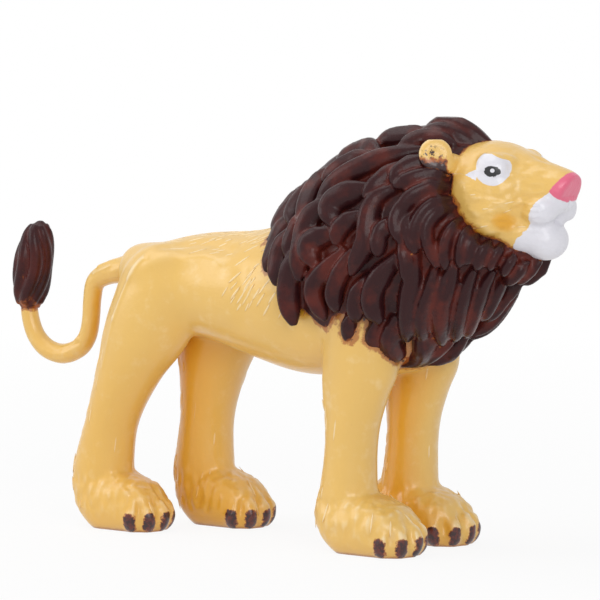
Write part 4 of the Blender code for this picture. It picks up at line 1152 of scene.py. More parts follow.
def toe_marks(skin, limb, legs):
    """Presses the gaps between a paw's toes."""
    for before, after in zip(TOE_TURNS, TOE_TURNS[1:]):
        turn = (before + after) / 2
        way = Vector((math.cos(turn), math.sin(turn), 0))
        path = []
        for reach, height in TOE_GAP_SHARES:
            spot = limb.arc + way * (reach * limb.paw_width / 2) + UP * (height * legs.paw_height)
            path.append(spot / MM)
        skin.raise_along(path, TOE_GAP_REACH, TOE_GAP_HEIGHT)


def model_body(skin, legs):
    """Works the folds, the toes and the paws' uneven relief into the body's skin."""
    x, _, z = skin.places()
    skin.even(ramp(z, *HAUNCH_FOOT) * ramp(x, *HAUNCH_FRONT), HAUNCH_PASSES)
    skin.mark(BODY_MARKS, SIDES)
    for limb in limbs(legs):
        toe_marks(skin, limb, legs)
    _, _, z = skin.places()
    skin.roughen(ramp(z, *PAW_LUMP_TOP) * ramp(z, *PAW_LUMP_FOOT), PAW_LUMP, PAW_LUMP_HEIGHT)
    skin.write()


# How thick the fur's strokes stand on each part of the body, and the heights and places in
# millimetres where the part sets in or ends
BACK_FUR_HEIGHTS, BACK_FUR_PLACES = (53.5, 56.5), (-28, -20)
FLANK_FUR, FLANK_FUR_HEIGHTS, FLANK_FUR_PLACES = 0.6, (42.5, 47.5), (-12, -8)
REAR_FUR, REAR_FUR_TOP, REAR_FUR_FACING = 0.9, 34, (0.3125, 0.9375)
LEG_FUR, LEG_FUR_FOOT, LEG_FUR_TOP = 0.04, 12, 36
PAW_FUR, PAW_FUR_FOOT, PAW_FUR_TOP = 0.10, 4, (12, 8)
LEAST_UPWARD = -0.4
# How much the fur lies ahead, outwards and up over and under these heights, and ahead on the legs
FUR_FALL = (57, 49)
HIGH_FLOW = np.array((-0.75, 0.25, -0.35))
LOW_FLOW = np.array((-0.60, 0.0, -0.80))
LEG_FLOW_TOP, LEG_FLOW_AHEAD = 38, -0.12


def fur_fields(skin):
    """Which way the fur lies, and where its strokes are thick."""
    x, y, z = skin.places()
    ahead, _, upward = skin.normals.T
    wish = HIGH_FLOW + (LOW_FLOW - HIGH_FLOW) * ramp(z, *FUR_FALL)[:, None]
    wish[:, 1] *= np.sign(y)
    wish[z <= LEG_FLOW_TOP, 0] = LEG_FLOW_AHEAD
    skin.store_flow(wish)
    back = ramp(z, *BACK_FUR_HEIGHTS) * ramp(x, *BACK_FUR_PLACES)
    flank = FLANK_FUR * ramp(z, *FLANK_FUR_HEIGHTS) * ramp(x, *FLANK_FUR_PLACES)
    rear = REAR_FUR * ramp(-ahead, *REAR_FUR_FACING) * (z < REAR_FUR_TOP)
    leg = LEG_FUR * (z < LEG_FUR_TOP) * (z > LEG_FUR_FOOT)
    paw = PAW_FUR * ramp(z, *PAW_FUR_TOP) * (z > PAW_FUR_FOOT)
    fur = np.max((back, flank, rear, leg, paw), axis=0)
    skin.store("fur", fur * (upward > LEAST_UPWARD))


def parted_body(obj, torso, legs):
    """The body skin cut along the frame's seams into its shells and legs, each closed."""
    bm = bmesh.new()
    bm.from_mesh(obj.data)
    cuts = ((0, ACROSS), (legs.front_seam, UP), (legs.hind_seam, UP), (0, UP))
    for height, way in cuts:
        everything = bm.verts[:] + bm.edges[:] + bm.faces[:]
        ground = height == 0 and way == UP
        bmesh.ops.bisect_plane(
            bm, geom=everything, plane_co=UP * height, plane_no=way, clear_inner=ground
        )
    mesh = obj.data
    bm.to_mesh(mesh)
    bm.free()
    x, y, z = read(mesh.polygons, "center", 3).T
    front = x > torso.split_x
    leg = z < np.where(front, legs.front_seam, legs.hind_seam)
    names = {}
    for side in SIDES:
        this_side = y * side > 0
        word = "left" if side > 0 else "right"
        names[f"torso_{word}_shell"] = this_side & ~leg
        names[f"{word}_front_leg"] = this_side & leg & front
        names[f"{word}_hind_leg"] = this_side & leg & ~front
    pieces = {}
    for name, mine in names.items():
        bm = bmesh.new()
        bm.from_mesh(mesh)
        bm.faces.ensure_lookup_table()
        gone = [bm.faces[i] for i in np.nonzero(~mine)[0].tolist()]
        bmesh.ops.delete(bm, geom=gone, context="FACES")
        rim = [edge for edge in bm.edges if edge.is_boundary]
        for edge in rim:
            edge.smooth = False
        caps = bmesh.ops.holes_fill(bm, edges=rim, sides=0)["faces"]
        bmesh.ops.triangulate(bm, faces=caps)
        made = bpy.data.meshes.new(name)
        bm.to_mesh(made)
        bm.free()
        pieces[name] = new_object(name + "_skin", made)
    bpy.data.objects.remove(obj)
    return pieces


def dress(obj, name, material, slot, *nodes):
    """Sets a finished piece in the frame: place, paint, body and the nodes it stands for. The slot
    is not used.
    """
    obj.name = name
    obj.data.name = name
    obj.data.transform(Matrix.Translation(FIGURE_PLACE))
    obj.data.materials.clear()
    obj.data.materials.append(material)
    obj.data.polygons.foreach_set("use_smooth", [True] * len(obj.data.polygons))
    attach(obj, "root")
    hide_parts(*nodes)
    return obj


def store_bleed(skin, others, reach, shift=Vector()):
    """Stores how close each point lies to other pieces: 1 against one, 0 a reach away."""
    bleed = np.zeros(len(skin.points))
    depsgraph = bpy.context.evaluated_depsgraph_get()
    for other in others:
        tree = BVHTree.FromObject(other, depsgraph)
        for index, spot in enumerate(skin.points.tolist()):
            found = tree.find_nearest(Vector(spot) + shift, reach)
            if found[0] is not None:
                bleed[index] = max(bleed[index], 1 - found[3] / reach)
    skin.store("bleed", bleed)


# Head


# Each row: forward from the middle of the head, rise, half height and half width of the snout
SNOUT_SHARES = (
    (0.14, 0.08, 0.410, 0.50),
    (0.42, 0.06, 0.340, 0.40),
    (0.64, 0.04, 0.275, 0.325),
    (0.84, 0.055, 0.205, 0.245),
    (0.93, 0.074, 0.150, 0.195),
    (0.985, 0.112, 0.077, 0.130),
)
# Each row: a soft form of the face, its place and its radii in head lengths, widths and depths
FACE_SHARES = (
    ((0.000, 0.00, 0.000), (0.500, 0.500, 0.500)),
    ((0.220, 0.00, -0.330), (0.350, 0.340, 0.280)),
)
# The same for forms that come in pairs, one on each side
FACE_PAIR_SHARES = (
    ((0.065, 0.270, -0.130), (0.305, 0.225, 0.310)),
    ((0.150, 0.210, 0.300), (0.185, 0.130, 0.110)),
    ((0.145, 0.310, 0.235), (0.165, 0.120, 0.175)),
)
MUZZLE_PLACE_SHARES = (0.525, 0.165, -0.130)
MUZZLE_SHAPE_SHARES = Vector((1.00, 0.95, 0.90))
CHIN_PLACE_SHARES = (0.480, 0.0, -0.415)
CHIN_SHAPE_SHARES = Vector((1.00, 1.04, 0.88))
EAR_PLACE_SHARES = (-0.225, 0.0, 0.385)
EAR_FACING = Vector((0.62, 0.74, 0.24)).normalized()
EAR_SHAPE_SHARES = Vector((1.0, 1.0, 0.36))
EAR_ROOT_SHARE = 0.25
EAR_ROOT_SHAPE_SHARES = Vector((0.5, 1.25, 0.65))
NECK_SHARES = ((-0.05, 0.90), (0.10, 0.90), (0.45, 0.96), (0.80, 1.00), (1.00, 0.98))
# The ear's dish: how far it lies out in ear radii, and its reach and height in millimetres
EAR_DISH_SHARE = 0.3
EAR_DISH_REACH = 1.7
EAR_DISH_HEIGHT = -0.7
# Where the snout is smoothed
SNOUT_REAR = (48, 52)
SNOUT_TOP = (67, 65)
SNOUT_PASSES = 50
# The flat front of the nose in millimetres: a place on it along and up, how it leans, the heights
# where it sets in, and the rounding of its rim
NOSE_FACE = (59.0, 71.2)
NOSE_LEAN = 0.48
NOSE_FOOT_EDGE = (65.5, 67.5)
NOSE_ROUNDING = 0.35
# Marks on one side of the face, each a path in millimetres, its reach and its height
FACE_MARKS = (
    (((57.4, 0, 62.6), (55.6, -3.2, 62.4), (53.0, -5.6, 62.0), (50.4, -6.8, 62.2)), 0.8, -0.3),
    (((58.2, 0, 66.6), (57.6, 0, 64.8), (57.0, 0, 62.6)), 0.5, -0.3),
    (((57.6, -1.2, 67.2), (56.0, -3.2, 67.6), (54.6, -4.2, 69.0)), 0.5, -0.35),
    (((48.2, -7.8, 62.7), (47.4, -8.2, 63.2)), 1.6, -0.6),
    (((42.4, -9.8, 68.4), (43.6, -9.6, 65.0), (45.4, -8.8, 62.0)), 1.3, 0.45),
    (((46.0, -8.8, 68.8), (46.6, -8.6, 66.0), (47.6, -8.2, 64.4)), 1.5, -0.3),
    (((42.6, -9.8, 71.8), (44.0, -9.0, 69.8), (46.6, -8.0, 69.2), (48.8, -6.8, 71.0)), 0.7, -0.22),
    (((43.0, -9.2, 74.2), (45.4, -7.6, 76.2), (48.2, -5.8, 75.6)), 0.8, 0.22),
)


def face_place(head, shares, side=1):
    x, y, z = shares
    return Vector(
        (head.x + x * head.length, side * y * head.width, head.height + z * head.depth)
    )


def ear_place(head, side):
    centre = face_place(head, EAR_PLACE_SHARES) + ACROSS * (side * head.ear_spread)
    if side > 0:
        centre -= UP * head.left_ear_drop + ALONG * head.left_ear_set_back
    return centre


def ear_facing(side):
    return Vector((EAR_FACING.x, side * EAR_FACING.y, EAR_FACING.z))


def head_skin(head):
    clay = Clay()
    middle = Vector((head.x, 0, head.height))
    foot = Vector((head.neck_x, 0, head.neck_height))
    up_neck = (middle - foot).normalized()
    sections = []
    for along, thickness in NECK_SHARES:
        radius = thickness * head.neck_radius
        centre = foot + (middle - foot) * along
        sections.append((centre, ACROSS * radius, up_neck.cross(ACROSS) * radius))
    clay.loft(sections)
    sections = []
    for forward, rise, half_height, half_width in eased(SNOUT_SHARES, ROW_STEPS["body"]):
        centre = Vector((head.x + forward * head.snout_length, 0, head.height + rise * head.depth))
        half_u = ACROSS * (half_width * head.snout_width)
        sections.append((centre, half_u, UP * (half_height * head.depth)))
    clay.loft(sections)
    size = Vector((head.length, head.width, head.depth))
    for place, radii in FACE_SHARES:
        clay.ball(face_place(head, place), Vector(radii) * size)
    clay.ball(face_place(head, CHIN_PLACE_SHARES), head.chin_radius * CHIN_SHAPE_SHARES)
    for side in SIDES:
        for place, radii in FACE_PAIR_SHARES:
            clay.ball(face_place(head, place, side), Vector(radii) * size)
        pad = face_place(head, MUZZLE_PLACE_SHARES, side)
        clay.ball(pad, head.muzzle_radius * MUZZLE_SHAPE_SHARES)
        centre = ear_place(head, side)
        turn = pointing(ear_facing(side))
        clay.ball(centre, head.ear_radius * EAR_SHAPE_SHARES, turn)
        root = centre.lerp(middle, EAR_ROOT_SHARE)
        clay.ball(root, head.ear_radius * EAR_ROOT_SHAPE_SHARES)
    obj = clay.moulded("head_skin", head.voxel, SOFTENING["head"])
    skin = Skin(obj.data)
    x, _, z = skin.places()
    skin.even(ramp(x, *SNOUT_REAR) * ramp(z, *SNOUT_TOP), SNOUT_PASSES)
    skin.mark(FACE_MARKS, SIDES[::-1])
    x, _, z = skin.places()
    proud = (x - NOSE_FACE[0] - NOSE_LEAN * (z - NOSE_FACE[1])) * ramp(z, *NOSE_FOOT_EDGE)
    skin.points[:, 0] -= NOSE_ROUNDING * MM * np.logaddexp(0, proud / NOSE_ROUNDING - 1)
    for side in SIDES:
        dish = (ear_place(head, side) + ear_facing(side) * head.ear_radius * EAR_DISH_SHARE) / MM
        skin.raise_along([dish, dish], EAR_DISH_REACH, EAR_DISH_HEIGHT)
    skin.write()
    return obj


FACE_STROKE_SHARE = 0.6
FACE_FUR_SHARE = 0.25
# Brushed relief on the cheeks and the snout
FACE_LUMP = (3.4, 1.6, 1.0)
FACE_LUMP_HEIGHT = 0.26
FACE_LUMP_REAR = (42, 43)
FACE_LUMP_FRONT = (56, 54)
FACE_LUMP_FOOT = (59, 62)
# Where the face's strokes lie: lowest and highest place along the head and up, in millimetres
FACE_FUR = ((43.0, 55.0), (61.5, 71.0))
EYE_CLEAR = 4.4


def face_fields(skin):
    """Brushed relief, and short strokes that run back along the snout, clear of the eyes."""
    x, _, z = skin.places()
    clear = np.hypot(x - EYE_MIDDLE[0], z - EYE_MIDDLE[1]) - EYE_CLEAR
    brushed = np.clip(clear, 0, 1) * ramp(x, *FACE_LUMP_REAR) * ramp(x, *FACE_LUMP_FRONT)
    skin.roughen(brushed * ramp(z, *FACE_LUMP_FOOT), FACE_LUMP, FACE_LUMP_HEIGHT)
    skin.hold_within("head")
    x, _, z = skin.places()
    clear = np.hypot(x - EYE_MIDDLE[0], z - EYE_MIDDLE[1]) > EYE_CLEAR
    (rear, front), (low, high) = FACE_FUR
    inside = (x > rear) & (x < front) & (z > low) & (z < high)
    skin.store("fur", FACE_FUR_SHARE * inside * clear)
    skin.store_flow(np.array((-1.0, 0.0, -0.12)))


# Mane


# Each row runs from the top of the mane to its underside: top along and up, bottom along and up,
# half width, and how far the sides are set back
MANE_SHARES = (
    (-0.100, 0.330, 0.300, -0.060, 0.400, 0.0),
    (0.015, 0.500, 0.430, 0.000, 0.430, 0.0),
    (0.060, 0.630, 0.525, 0.025, 0.465, 0.0),
    (0.175, 0.795, 0.640, 0.075, 0.490, 0.0),
    (0.370, 0.935, 0.745, 0.185, 0.490, 0.10),
    (0.570, 0.990, 0.835, 0.320, 0.440, 0.35),
    (0.700, 0.985, 0.935, 0.405, 0.370, 0.70),
    (0.760, 0.950, 0.995, 0.450, 0.295, 1.00),
)
# The big locks, drawn on the lion's right and mirrored on its left. Each row: the lock's width in
# hundredths of the mane's width, then the places it runs through, in hundredths of the mane's
# length and height as seen from the side, with the place across too where the mane faces forwards
GRID = 100
LOCK_SHARES = (
    (10, (46, 91), (36, 91), (25, 84)),
    (9, (46, 90), (37, 87), (26, 77)),
    (10, (62, 94), (47, 87), (35, 78), (29, 69)),
    (9, (34, 84), (23, 79), (22, 72), (25, 57)),
    (9, (27, 81), (18, 73), (15, 65), (17, 59)),
    (9, (22, 68), (21, 59), (19, 45)),
    (11, (38, 74), (27, 63), (26, 52), (25, 36)),
    (12, (50, 78), (39, 72), (36, 67), (39, 60)),
    (9, (49, 67), (42, 60), (40, 52)),
    (11, (40, 58), (31, 54), (29, 50), (32, 43)),
    (8, (58, 88), (53, 79), (49, 72)),
    (10, (60, 78), (53, 72), (52, 62), (52, 55), (46, 40)),
    (9, (43, 51), (36, 42), (31, 33), (34, 20)),
    (9, (46, 51), (42, 41), (39, 32), (39, 24)),
    (7, (32, 44), (30, 36), (30, 25)),
    (9, (52, 40), (47, 31), (45, 20)),
    (8, (44, 24), (41, 16), (42, 10)),
    (11, (63, 50), (55, 38), (52, 29), (53, 20)),
    (9, (66, 90), (61, 85), (58, 78)),
    (9, (70, 73), (64, 70), (62, 63), (64, 54)),
    (8, (61, 65), (57, 59), (56, 48)),
    (9, (52, 21), (48, 12), (49, 5)),
    (11, (58, 22), (53, 12), (51, 4)),
    (10, (61, 101, 9), (50, 99, 9), (39, 95, 11)),
    (8, (73, 96, 17), (66, 100, 17), (59, 100, 18), (54, 95, 28)),
    (9, (70, 87), (66, 87), (62, 85), (58, 80)),
    (9, (75, 82), (67, 81), (59, 77)),
    (9, (75, 77), (71, 77), (65, 72), (62, 65)),
    (8, (76, 73), (71, 69), (68, 61), (67, 51)),
    (7, (77, 70), (73, 66), (71, 58), (73, 44)),
    (7, (79, 65), (78, 62), (76, 54), (75, 43)),
    (7, (82, 62), (81, 58), (80, 50), (79, 44)),
    (7, (85, 59, 26), (83, 54, 30), (82, 44, 32)),
    (7, (88, 56, 23), (86, 50, 27), (85, 40, 30)),
    (6, (91, 55, 19), (89, 48, 23), (88, 40, 25)),
    (7, (94, 51, 14), (92, 45, 17), (91, 36, 18)),
    (8, (96, 47, 10), (94, 39, 11), (90, 30, 11)),
    (7, (99, 45, 4), (96, 38, 4), (92, 29, 3)),
    (10, (68, 50), (66, 39), (63, 28), (58, 12)),
    (9, (73, 45), (70, 34), (66, 24), (62, 12)),
    (9, (76, 42), (73, 34), (70, 24), (65, 10)),
    (9, (80, 44, 36), (78, 36, 33), (74, 25, 30), (69, 10, 18)),
    (10, (86, 40, 31), (82, 30, 27), (77, 19, 20), (70, 8, 9)),
    (10, (90, 37, 22), (87, 27, 19), (80, 16, 12), (73, 8, 4)),
    (9, (92, 33, 11), (88, 24, 8), (81, 14, 3)),
    (8, (65, 68), (66, 59), (68, 50)),
    (8, (63, 57), (65, 47), (64, 38)),
)
# The forelock's strands, each its width and its places as above, with the place across
FORELOCK_SHARES = (
    (19, (52, 96, 0), (58, 100, 0), (63, 102, 0), (69, 100, 0), (74, 97, 0), (80, 93, 0)),
    (14, (54, 97, 9), (61, 100, 8), (68, 98, 6), (76, 93, 4)),
    (14, (54, 97, -9), (61, 100, -8), (68, 98, -6), (76, 93, -4)),
)
LOCK_POINTS = 9
LOCK_SIDE_COUNT = 12
LOCK_PITCH_SHARE = 1.1
LOCK_WANDER_SHARE = 0.3
LOCK_ROOT_SHARE = 0.36
LOCK_ROOT_END_SHARE = 0.35
LOCK_TIP_SHARE = 0.30
LOCK_TIP_START_SHARE = 0.62
LOCK_SINK_SHARE = 0.27
LOCK_LIFT_SHARE = 0.30
LOCK_JITTER_SHARE = 0.02
LOCK_LEAN_SHARE = 0.40
LOCK_CREST_SHARE = 0.18
LOCK_LENGTH_SHARES = (0.8, 1.15)
LOCK_WIDTH_SHARES = (0.8, 1.15)
LOCK_BEND_SHARES = (0.15, 0.45)
FORELOCK_SINK_SHARE = 0.6
FORELOCK_TAPER_SHARE = 0.55
# A lock that starts nearer than this to the middle isn't mirrored
MIRROR_SHARE = 6
# How far across a spot past the mane's outline is taken to lie
RIM_ACROSS = 25
FALL_SHARE = 0.55
CROWN_FALL_SHARE = 0.12
SIDE_FALL_SHARE = 0.92
BACKWARD = Vector((-0.80, 0, -0.45))


def mane_place(mane, along, up, across, side):
    """A place in the mane's box from hundredths of its length, height and width."""
    x = mane.rear_x + along / GRID * mane.length
    z = mane.base_height + up / GRID * mane.height
    return Vector((x, side * across / GRID * mane.width, z))


def mane_sections(mane, rows, inset):
    made = []
    for top_x, top_z, bottom_x, bottom_z, half_width, set_back in rows:
        top = mane_place(mane, top_x * GRID, top_z * GRID, 0, 1)
        bottom = mane_place(mane, bottom_x * GRID, bottom_z * GRID, 0, 1)
        half_v = (top - bottom) / 2
        half_v -= half_v.normalized() * inset
        half_u = ACROSS * (half_width * mane.width - inset)
        bow = -ALONG * (set_back * mane.rim_set_back)
        made.append(((top + bottom) / 2, half_u, half_v, bow))
    return made


def place_on_mane(mane, surface, spot, side):
    """A table's spot on the mane's skin, found from the side where it gives no place across."""
    if len(spot) > 2:
        return surface.find_nearest(mane_place(mane, *spot, side))[0]
    beside = mane_place(mane, *spot, GRID, side)
    found = surface.ray_cast(beside, -side * ACROSS)[0]
    return found or surface.find_nearest(mane_place(mane, *spot, RIM_ACROSS, side))[0]


def flow_at(mane, place, normal):
    """The way the hair lies: backwards on the crown, downwards lower on the mane."""
    crown = mane.base_height + mane.height
    fall = min(1.0, max(0.0, (crown - place.z) / (FALL_SHARE * mane.height)))
    wish = BACKWARD.lerp(-UP, CROWN_FALL_SHARE + (SIDE_FALL_SHARE - CROWN_FALL_SHARE) * fall)
    return (wish - normal * wish.dot(normal)).normalized()


def spaced(points, count):
    """Points spaced evenly along a smooth line through a few places."""
    fine = [Vector(point) for point in eased(points, ROW_STEPS["lock"])]
    reach = [0.0]
    for a, b in zip(fine, fine[1:]):
        reach.append(reach[-1] + (b - a).length)
    made = []
    index = 0
    for step in range(count):
        want = reach[-1] * step / (count - 1)
        while index < len(fine) - 2 and reach[index + 1] < want:
            index += 1
        part = (want - reach[index]) / (reach[index + 1] - reach[index])
        made.append(fine[index].lerp(fine[index + 1], min(1.0, part)))
    return made


def lock_girth(along):
    """A lock's thickness along its length, 1 at its fullest: quick to swell, with a blunt tip."""
    rise = min(1.0, LOCK_ROOT_SHARE + (1 - LOCK_ROOT_SHARE) * along / LOCK_ROOT_END_SHARE)
    fall = max(0.0, (along - LOCK_TIP_START_SHARE) / (1 - LOCK_TIP_START_SHARE))
    return rise * math.sqrt(max(LOCK_TIP_SHARE**2, 1 - fall**2 * (1 - LOCK_TIP_SHARE**2)))


class Strands:
    """Lines drawn for locks of hair, each point with its girth."""

    def __init__(self):
        self.points = []
        self.edges = []
        self.girths = []
        self.facings = []

    def draw(self, points, girths, facings):
        """Adds a line. Each facing says where the strand's top looks, and is made square to it."""
        first = len(self.points)
        self.points += points
        self.girths += girths
        for behind, ahead, facing in zip(points[:1] + points, points[1:] + points[-1:], facings):
            way = (ahead - behind).normalized()
            self.facings.append((facing - way * facing.dot(way)).normalized())
        self.edges += [(first + i, first + i + 1) for i in range(len(points) - 1)]

    def lay(self, surface, points, width):
        """Lays one lock on a surface: sunk at its root and proud towards its tip."""
        places, girths, facings = [], [], []
        for index, point in enumerate(points):
            along = index / (LOCK_POINTS - 1)
            place, normal, _, _ = surface.find_nearest(point)
            places.append(place + normal * (width * (LOCK_LIFT_SHARE * along - LOCK_SINK_SHARE)))
            girths.append(0.5 * width * lock_girth(along))
            facings.append(normal)
        self.draw(places, girths, facings)

    def tubes(self, name, rig, lean=0.0, crest=0.0):
        mesh = bpy.data.meshes.new(name)
        mesh.from_pydata(self.points, self.edges, [])
        layer = mesh.attributes.new("girth", "FLOAT", "POINT")
        layer.data.foreach_set("value", self.girths)
        layer = mesh.attributes.new("facing", "FLOAT_VECTOR", "POINT")
        layer.data.foreach_set("vector", [c for facing in self.facings for c in facing])
        values = {"Sides": LOCK_SIDE_COUNT, "Lean": lean, "Crest": crest}
        return rig.apply(new_object(name, mesh), values)


def combed(mane, surface, start, reach, bend):
    """Points of a filling lock that follows the lie of the hair from its start."""
    points = []
    place, normal, _, _ = surface.find_nearest(start)
    for step in range(LOCK_POINTS):
        points.append(place)
        flow = flow_at(mane, place, normal)
        side = flow.cross(normal).normalized()
        turned = flow + side * (bend * math.sin(math.tau * step / (LOCK_POINTS - 1)))
        place, normal, _, _ = surface.find_nearest(place + turned * (reach / (LOCK_POINTS - 1)))
    return points


def lock_starts(mane, sections, draws):
    """Places in rows from the mane's rim to its rear, each row half a lock out of step."""
    starts = []
    row = 0
    for rear, front in zip(sections, sections[1:]):
        far, far_u, far_v, far_bow = rear
        near, near_u, near_v, near_bow = front
        rows_here = max(1, round((far + far_v - near - near_v).length / mane.lock_row_pitch))
        for step in range(rows_here):
            along = step / rows_here
            centre = near.lerp(far, along)
            half_u, half_v = near_u.lerp(far_u, along), near_v.lerp(far_v, along)
            bow = near_bow.lerp(far_bow, along)
            around = math.pi * (half_u.length + half_v.length)
            count = round(around / (LOCK_PITCH_SHARE * mane.lock_width))
            for index in range(count):
                wander = LOCK_WANDER_SHARE * draws.random() + 0.5 * (row % 2)
                angle = math.tau * (index + wander) / count
                c, s = math.sin(angle), math.cos(angle)
                starts.append(centre + half_u * c + half_v * s + bow * c * c)
            row += 1
    return starts


def drawn_locks(mane, surface, draws):
    """The big locks of the table on both sides, each its points and its width."""
    made = []
    for width, *spots in LOCK_SHARES:
        for side in SIDES:
            if side > 0 and len(spots[0]) > 2 and spots[0][2] < MIRROR_SHARE:
                continue
            reach = LOCK_JITTER_SHARE * mane.height if side > 0 else 0.0
            places = []
            for spot in spots:
                shift = Vector((draws.uniform(-1, 1), 0, draws.uniform(-1, 1)))
                places.append(place_on_mane(mane, surface, spot, side) + reach * shift)
            made.append((spaced(places, LOCK_POINTS), width / GRID * mane.width))
    return made


def filling_locks(mane, surface, drawn, draws):
    """Smaller locks that follow the lie of the hair where the table draws none."""
    taken = [point for points, _ in drawn for point in points]
    tree = KDTree(len(taken))
    for index, point in enumerate(taken):
        tree.insert(point, index)
    tree.balance()
    made = []
    for start in lock_starts(mane, mane_sections(mane, MANE_SHARES[2:], 0.0), draws):
        reach = mane.lock_length * draws.uniform(*LOCK_LENGTH_SHARES)
        width = mane.lock_width * draws.uniform(*LOCK_WIDTH_SHARES)
        bend = draws.uniform(*LOCK_BEND_SHARES) * draws.choice(SIDES)
        points = combed(mane, surface, start, reach, bend)
        if tree.find(points[LOCK_POINTS // 2])[2] > mane.lock_room:
            made.append((points, width))
    return made


def draw_forelock(mane, strands):
    """The big curl over the forehead, thickest at its root."""
    for width, *spots in FORELOCK_SHARES:
        places = spaced([mane_place(mane, *spot, 1) for spot in spots], LOCK_POINTS)
        girths = []
        for index in range(LOCK_POINTS):
            along = index / (LOCK_POINTS - 1)
            taper = 1 - FORELOCK_TAPER_SHARE * along**3
            girths.append(0.5 * width / GRID * mane.width * lock_girth(along) * taper)
        sunk = [place - UP * (FORELOCK_SINK_SHARE * girth) for place, girth in zip(places, girths)]
        strands.draw(sunk, girths, [UP] * LOCK_POINTS)


def mane_skin(mane):
    drape = Clay()
    drape.loft(mane_sections(mane, eased(MANE_SHARES, ROW_STEPS["mane"]), 0.0))
    drape = drape.shape("drape")
    surface = BVHTree.FromObject(drape, bpy.context.evaluated_depsgraph_get())
    bpy.data.objects.remove(drape)
    strands = Strands()
    draws = random.Random(SEED)
    drawn = drawn_locks(mane, surface, draws)
    for points, width in drawn + filling_locks(mane, surface, drawn, draws):
        strands.lay(surface, points, width)
    draw_forelock(mane, strands)
    clay = Clay()
    under = eased(MANE_SHARES[1:], ROW_STEPS["mane"])
    clay.loft(mane_sections(mane, under, mane.groove_depth))
    clay.add(strands.tubes("mane_locks", strand_rig(), LOCK_LEAN_SHARE, LOCK_CREST_SHARE))
    return clay.moulded("mane_skin", mane.voxel, SOFTENING["mane"])


# Tail and tuft


# Each row: back from the root in tail reaches, down from it in tail drops, thickness in tail radii
TAIL_SHARES = (
    (-0.12, -0.05, 1.60),
    (0.00, 0.00, 1.45),
    (0.16, 0.05, 1.25),
    (0.30, 0.16, 1.06),
    (0.34, 0.36, 1.00),
    (0.355, 0.60, 0.98),
    (0.39, 0.80, 1.00),
    (0.48, 0.95, 1.04),
    (0.65, 1.03, 1.08),
    (0.82, 0.98, 1.06),
    (0.94, 0.83, 1.00),
    (1.00, 0.62, 0.96),
    (1.01, 0.42, 0.92),
    (1.00, 0.25, 0.86),
)
# Ridges of the brush: each a place around it in turns, its twist, and its width in brush radii
TUFT_RIDGES = tuple((index / 7, 0.16, 0.74 + 0.12 * (index % 3)) for index in range(7))
# The core under the ridges, where the ridges run, how thick they are, and how thin at their ends
TUFT_CORE_SHARE = 0.86
TUFT_RIDGE_PLACE_SHARE = 0.74
TUFT_RIDGE_SHARE = 0.38
TUFT_RIDGE_END_SHARE = 0.10
TUFT_LEAN_POWER = 1.6
# The brush's base is worn between these heights over it, in millimetres, and its brown is less red
TUFT_WORN = (-0.4, 1.6)
TUFT_RED_SHARE = 0.45
# Each row: place along the brush from its base, and its thickness in brush radii
TUFT_SHARES = (
    (0.00, 0.55),
    (0.06, 0.65),
    (0.13, 0.77),
    (0.21, 0.89),
    (0.35, 0.98),
    (0.50, 1.00),
    (0.62, 0.97),
    (0.75, 0.86),
    (0.87, 0.68),
    (0.95, 0.43),
    (1.00, 0.14),
)


def tail_points(tail, rump_x):
    root = Vector((rump_x, 0, tail.root_height))
    points, girths = [], []
    for back, down, thickness in eased(TAIL_SHARES, ROW_STEPS["tail"]):
        points.append(root + Vector((-back * tail.reach, 0, -down * tail.drop)))
        girths.append(thickness * tail.radius)
    return points, girths


# Lengthwise lines on the tail, each a path in millimetres, its reach and its height
TAIL_MARKS = (
    (((-43, -1.2, 51.4), (-47.5, -1.0, 50.0)), 0.35, 0.25),
    (((-44, -2.2, 50.4), (-48.2, -1.8, 48.6)), 0.35, 0.22),
    (((-52.5, -1.4, 35.6), (-57, -1.3, 34.2), (-60.5, -1.3, 35.0)), 0.35, 0.25),
    (((-51.8, -1.9, 34.8), (-56, -1.9, 33.2)), 0.3, -0.2),
)


def tail_skin(tail, rump_x):
    strands = Strands()
    points, girths = tail_points(tail, rump_x)
    strands.draw(points, girths, [ACROSS] * len(points))
    clay = Clay()
    clay.add(strands.tubes("tail_line", strand_rig()))
    obj = clay.moulded("tail_skin", tail.voxel, SOFTENING["tail"])
    skin = Skin(obj.data)
    skin.mark(TAIL_MARKS)
    skin.write()
    return obj


def tuft_skin(tail, rump_x):
    points, _ = tail_points(tail, rump_x)
    base = points[-1] - UP * tail.tuft_sleeve
    strands = Strands()
    sections = []

    def centre_at(along):
        lean = tail.tuft_lean * max(along, 0) ** TUFT_LEAN_POWER
        return base + Vector((lean, 0, along * tail.tuft_length))

    for along, thickness in eased(TUFT_SHARES, ROW_STEPS["tail"]):
        radius = TUFT_CORE_SHARE * thickness * tail.tuft_radius
        sections.append((centre_at(along), ALONG * radius, ACROSS * radius))
    for around, twist, width in TUFT_RIDGES:
        line, girths, facings = [], [], []
        for along, thickness in eased(TUFT_SHARES[1:-1], ROW_STEPS["ridge"]):
            angle = math.tau * (around + twist * math.sin(math.pi * along))
            radius = TUFT_RIDGE_PLACE_SHARE * thickness * tail.tuft_radius
            facings.append(Vector((math.cos(angle), math.sin(angle), 0)))
            line.append(centre_at(along) + facings[-1] * radius)
            girth = TUFT_RIDGE_END_SHARE + (1 - TUFT_RIDGE_END_SHARE) * thickness
            girths.append(TUFT_RIDGE_SHARE * width * tail.tuft_radius * girth)
        strands.draw(line, girths, facings)
    clay = Clay()
    clay.loft(sections)
    clay.add(strands.tubes("tuft_locks", strand_rig()))
    return clay.moulded("tuft_skin", tail.voxel, SOFTENING["tuft"])


# Operators


built = {}


